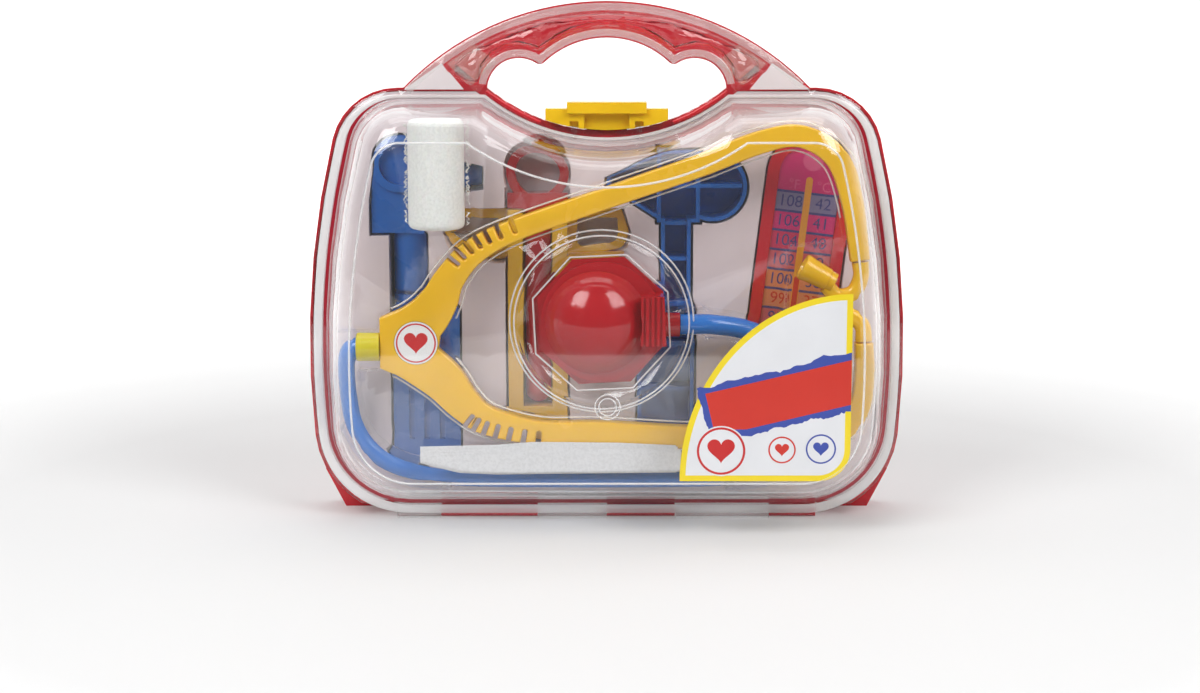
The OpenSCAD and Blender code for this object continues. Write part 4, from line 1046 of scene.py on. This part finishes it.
def ragged(a, b, depth, seed, n=46):
    """Torn edge from a to b: each place is pushed off the line by noise of the given depth."""
    rng = np.random.default_rng(seed)
    a, b = np.array(a, float), np.array(b, float)
    t = np.linspace(0, 1, n)
    d = (b - a) / np.linalg.norm(b - a)
    slow = np.interp(t, np.linspace(0, 1, 12), rng.normal(0, depth, 12))
    off = (slow + rng.normal(0, depth * 0.45, n))[:, None]
    off[0] = off[-1] = 0
    return a + (b - a) * t[:, None] + off * np.array((-d[1], d[0]))


def label_edge(inset):
    """Label outline: a quarter ellipse on the upper left, straight right and lower edges with one round
    corner."""
    cx, cz = LABEL_C
    w, h, corner = LABEL_W - inset, LABEL_H - inset, LABEL_CORNER
    a = np.radians(np.linspace(90, 180, 44))
    x, z = cx + w * np.cos(a), cz + h * np.sin(a)
    keep = (x <= cx - inset) & (z >= cz + inset)
    top = [cx - inset, cz + h * math.sqrt(1 - (inset / w) ** 2)]
    low = [cx - w * math.sqrt(1 - (inset / h) ** 2), cz + inset]
    bend = arc((cx - corner, cz + corner), corner - inset, -90, 0, 14)
    return np.vstack([[top], np.stack([x[keep], z[keep]], 1), [low], bend, [[cx - inset, cz + corner]]])


class CASE_OT_label(bpy.types.Operator):
    """Print the front label: yellow border, white field, torn band and hearts, all without words."""
    bl_idname = "case.label"
    bl_label = "Label"

    def execute(self, context):
        torn = np.vstack([
            ragged((39.0, 68.3), (106.3, 84.2), 0.5, 3), [[106.3, 58.2]],
            ragged((106.3, 58.2), (61.0, 47.2), 0.5, 4), ragged((44.6, 47.6), (39.0, 68.3), 0.35, 5, 20),
        ])
        red = ((42.8, 66.0), (106.3, 80.9), (106.3, 61.1), (60.8, 50.2), (46.6, 50.0))
        c = (49.9, 40.5)
        rows = [
            ("stock", label_edge(0), 0, 0.10, "label_yellow"),
            ("field", label_edge(2.6), 0.10, 0.125, "label_white"),
            ("band_edge", torn, 0.125, 0.15, "band_blue"),
            ("band", red, 0.15, 0.17, "band_red"),
            ("badge_rim", circle(c, 11.2), 0.15, 0.175, "label_white"),
            ("badge_ring", circle(c, 10.6), 0.175, 0.18, "badge_red"),
            ("badge_disc", circle(c, 9.6), 0.18, 0.185, "label_white"),
            ("badge_heart", heart(c, 6.4), 0.185, 0.195, "badge_red"),
        ]
        for c, r, key in (((76.5, 41.0), 6.0, "band_red"), ((93.5, 41.4), 6.6, "band_blue")):
            rows += [
                ("dot_rim", circle(c, r), 0.125, 0.15, key),
                ("dot", circle(c, r - 0.7), 0.15, 0.165, "label_white"),
                ("dot_heart", heart(c, r * 0.55), 0.165, 0.18, key),
            ]
        label = join("label_printed", printed(LID_DEPTH, LID_SIDE, rows), smooth=20)
        stand_in(label, "lid", "front_label")
        return {"FINISHED"}


class CASE_OT_badge(bpy.types.Operator):
    """Print the badge on the yoke: a white disc, a red ring and a red heart."""
    bl_idname = "case.badge"
    bl_label = "Yoke badge"

    def execute(self, context):
        top = YOKE_H + YOKE_T + 0.1
        profile = [(top - 0.9, BADGE_R - 0.1), (top - 0.06, BADGE_R), (top - 0.05, BADGE_R - 0.2)]
        disc = lathe("badge_stock", profile, at_height(BADGE_C, 0), TO_VIEWER, finish("badge_white"), n=72)
        layers = printed(top, LID_SIDE, (
            ("badge_line", circle(BADGE_C, 8.9, 72), -0.05, -0.035, "badge_red"),
            ("badge_field", circle(BADGE_C, 8.2, 72), -0.035, -0.02, "badge_white"),
            ("badge_heart", heart(BADGE_C, 5.6), -0.02, 0, "badge_red"),
        ))
        badge = join("badge_printed", [disc, *layers], smooth=20)
        stand_in(badge, "lid", "yoke_badge")
        return {"FINISHED"}


# Rows of the thermometer's card from the top: ink, degrees F, degrees C
SCALE = (
    ("card_slate", "108", "42"), ("card_magenta", "106", "41"), ("card_crimson", "104", "40"),
    ("card_salmon", "102", "39"), ("card_orange", "100", "38"), ("card_orange", "99", "37"),
    ("card_salmon", "98", "36"), ("card_crimson", "96", "35"), ("card_magenta", "94", "34"),
    ("card_slate", "92", "33"),
)


def on_card(points):
    """Points drawn on the upright card, put where the thermometer lies."""
    return turned(points, -THERMO_TURN, THERMO_C)


def figures(text, size, at, h, key):
    """Plain figures of the thermometer's scale, centred on a spot of the card."""
    data = bpy.data.curves.new("figures", "FONT")
    data.body, data.size, data.align_x, data.align_y = text, size, "CENTER", "CENTER"
    data.extrude = 0.012
    mesh = from_curve(data, h, BASE_SIDE, lambda xz: on_card(xz + at))
    return settle("figures", mesh, finish(key), smooth=20, closed=False)


class CASE_OT_card(bpy.types.Operator):
    """Print the thermometer's card: coloured rows with figures, a tube and its red column."""
    bl_idname = "case.card"
    bl_label = "Thermometer card"

    def execute(self, context):
        top, r = CARD_H - 0.4, THERMO_W / 2 - 5.6
        foot = THERMO_W / 2 - THERMO_L + 10
        first_z, step, rule, figure, unit = -8.3, 8.9, 0.55, 7.4, 6.2

        def bar(z0, z1):
            return on_card([(-r, z0), (r, z0), (r, z1), (-r, z1)])

        stock = np.vstack([arc((0, 0), r, 0, 180, 40), [[-r, 0], [-r, foot], [r, foot]]])
        layers = printed(top, BASE_SIDE, [("stock", on_card(stock), 0.03, 0.4, "card_magenta")])
        for i, (key, fahrenheit, celsius) in enumerate(SCALE):
            z1, z0 = first_z - i * step, first_z - (i + 1) * step
            if z0 < foot + 1:
                break
            layers += printed(top, BASE_SIDE, (
                ("row", bar(z0, z1), 0.015, 0.03, key),
                ("rule", bar(z1 - rule, z1 + rule), 0.008, 0.015, "card_line"),
            ))
            ink = "badge_red" if fahrenheit == "99" else "card_line"
            for text, x in ((fahrenheit, -7.3), (celsius, 7.6)):
                layers.append(figures(text, figure, (x, (z0 + z1) / 2), top - 0.01, ink))
        for text, x in (("°F", -6.6), ("°C", 6.9)):
            layers.append(figures(text, unit, (x, -5.0), top - 0.01, "card_pink"))
        rows = [("sun", on_card(circle((0.6, 6.5), 4.6)), 0.008, 0.03, "card_pink")]
        for name, end, w, key, low in (("tube", -2.5, 1.55, "card_gold", -0.05),
                                       ("column", -47.5, 1.25, "badge_red", -0.15)):
            pill = np.vstack([arc((0, end), w, 0, 180, 14), arc((0, foot + 8), w, 180, 360, 14)])
            rows.append((name, on_card(pill), low, 0.03, key))
        card = join("card_printed", layers + printed(top, BASE_SIDE, rows), smooth=25)
        stand_in(card, "base", "thermometer_card")
        return {"FINISHED"}


class CASE_PT_panel(bpy.types.Panel):
    """Lists the steps and the sizes of the doctor case."""
    bl_idname = "CASE_PT_panel"
    bl_label = "Doctor Case"
    bl_space_type = "VIEW_3D"
    bl_region_type = "UI"
    bl_category = "Doctor Case"

    def draw(self, context):
        for group in (context.scene.case_colours, context.scene.case_sizes):
            for key in group.bl_rna.properties.keys():
                if key not in ("rna_type", "name"):
                    self.layout.prop(group, key)
        for step in STEPS:
            self.layout.operator(step.bl_idname)


STEPS = (
    CASE_OT_stage, CASE_OT_solids, CASE_OT_edges, CASE_OT_card, CASE_OT_headset, CASE_OT_badge, CASE_OT_hose,
    CASE_OT_chest, CASE_OT_gauze, CASE_OT_leaflet, CASE_OT_label,
)
CLASSES = (CASE_PG_colours, CASE_PG_sizes, *STEPS, CASE_PT_panel)


def register():
    for cls in CLASSES:
        bpy.utils.register_class(cls)
    bpy.types.Scene.case_colours = PointerProperty(type=CASE_PG_colours)
    bpy.types.Scene.case_sizes = PointerProperty(type=CASE_PG_sizes)


def unregister():
    del bpy.types.Scene.case_sizes
    del bpy.types.Scene.case_colours
    for cls in reversed(CLASSES):
        bpy.utils.unregister_class(cls)


def main():
    register()
    for step in STEPS:
        getattr(bpy.ops.case, step.bl_idname.split(".")[1])()


if __name__ == "__main__":
    main()
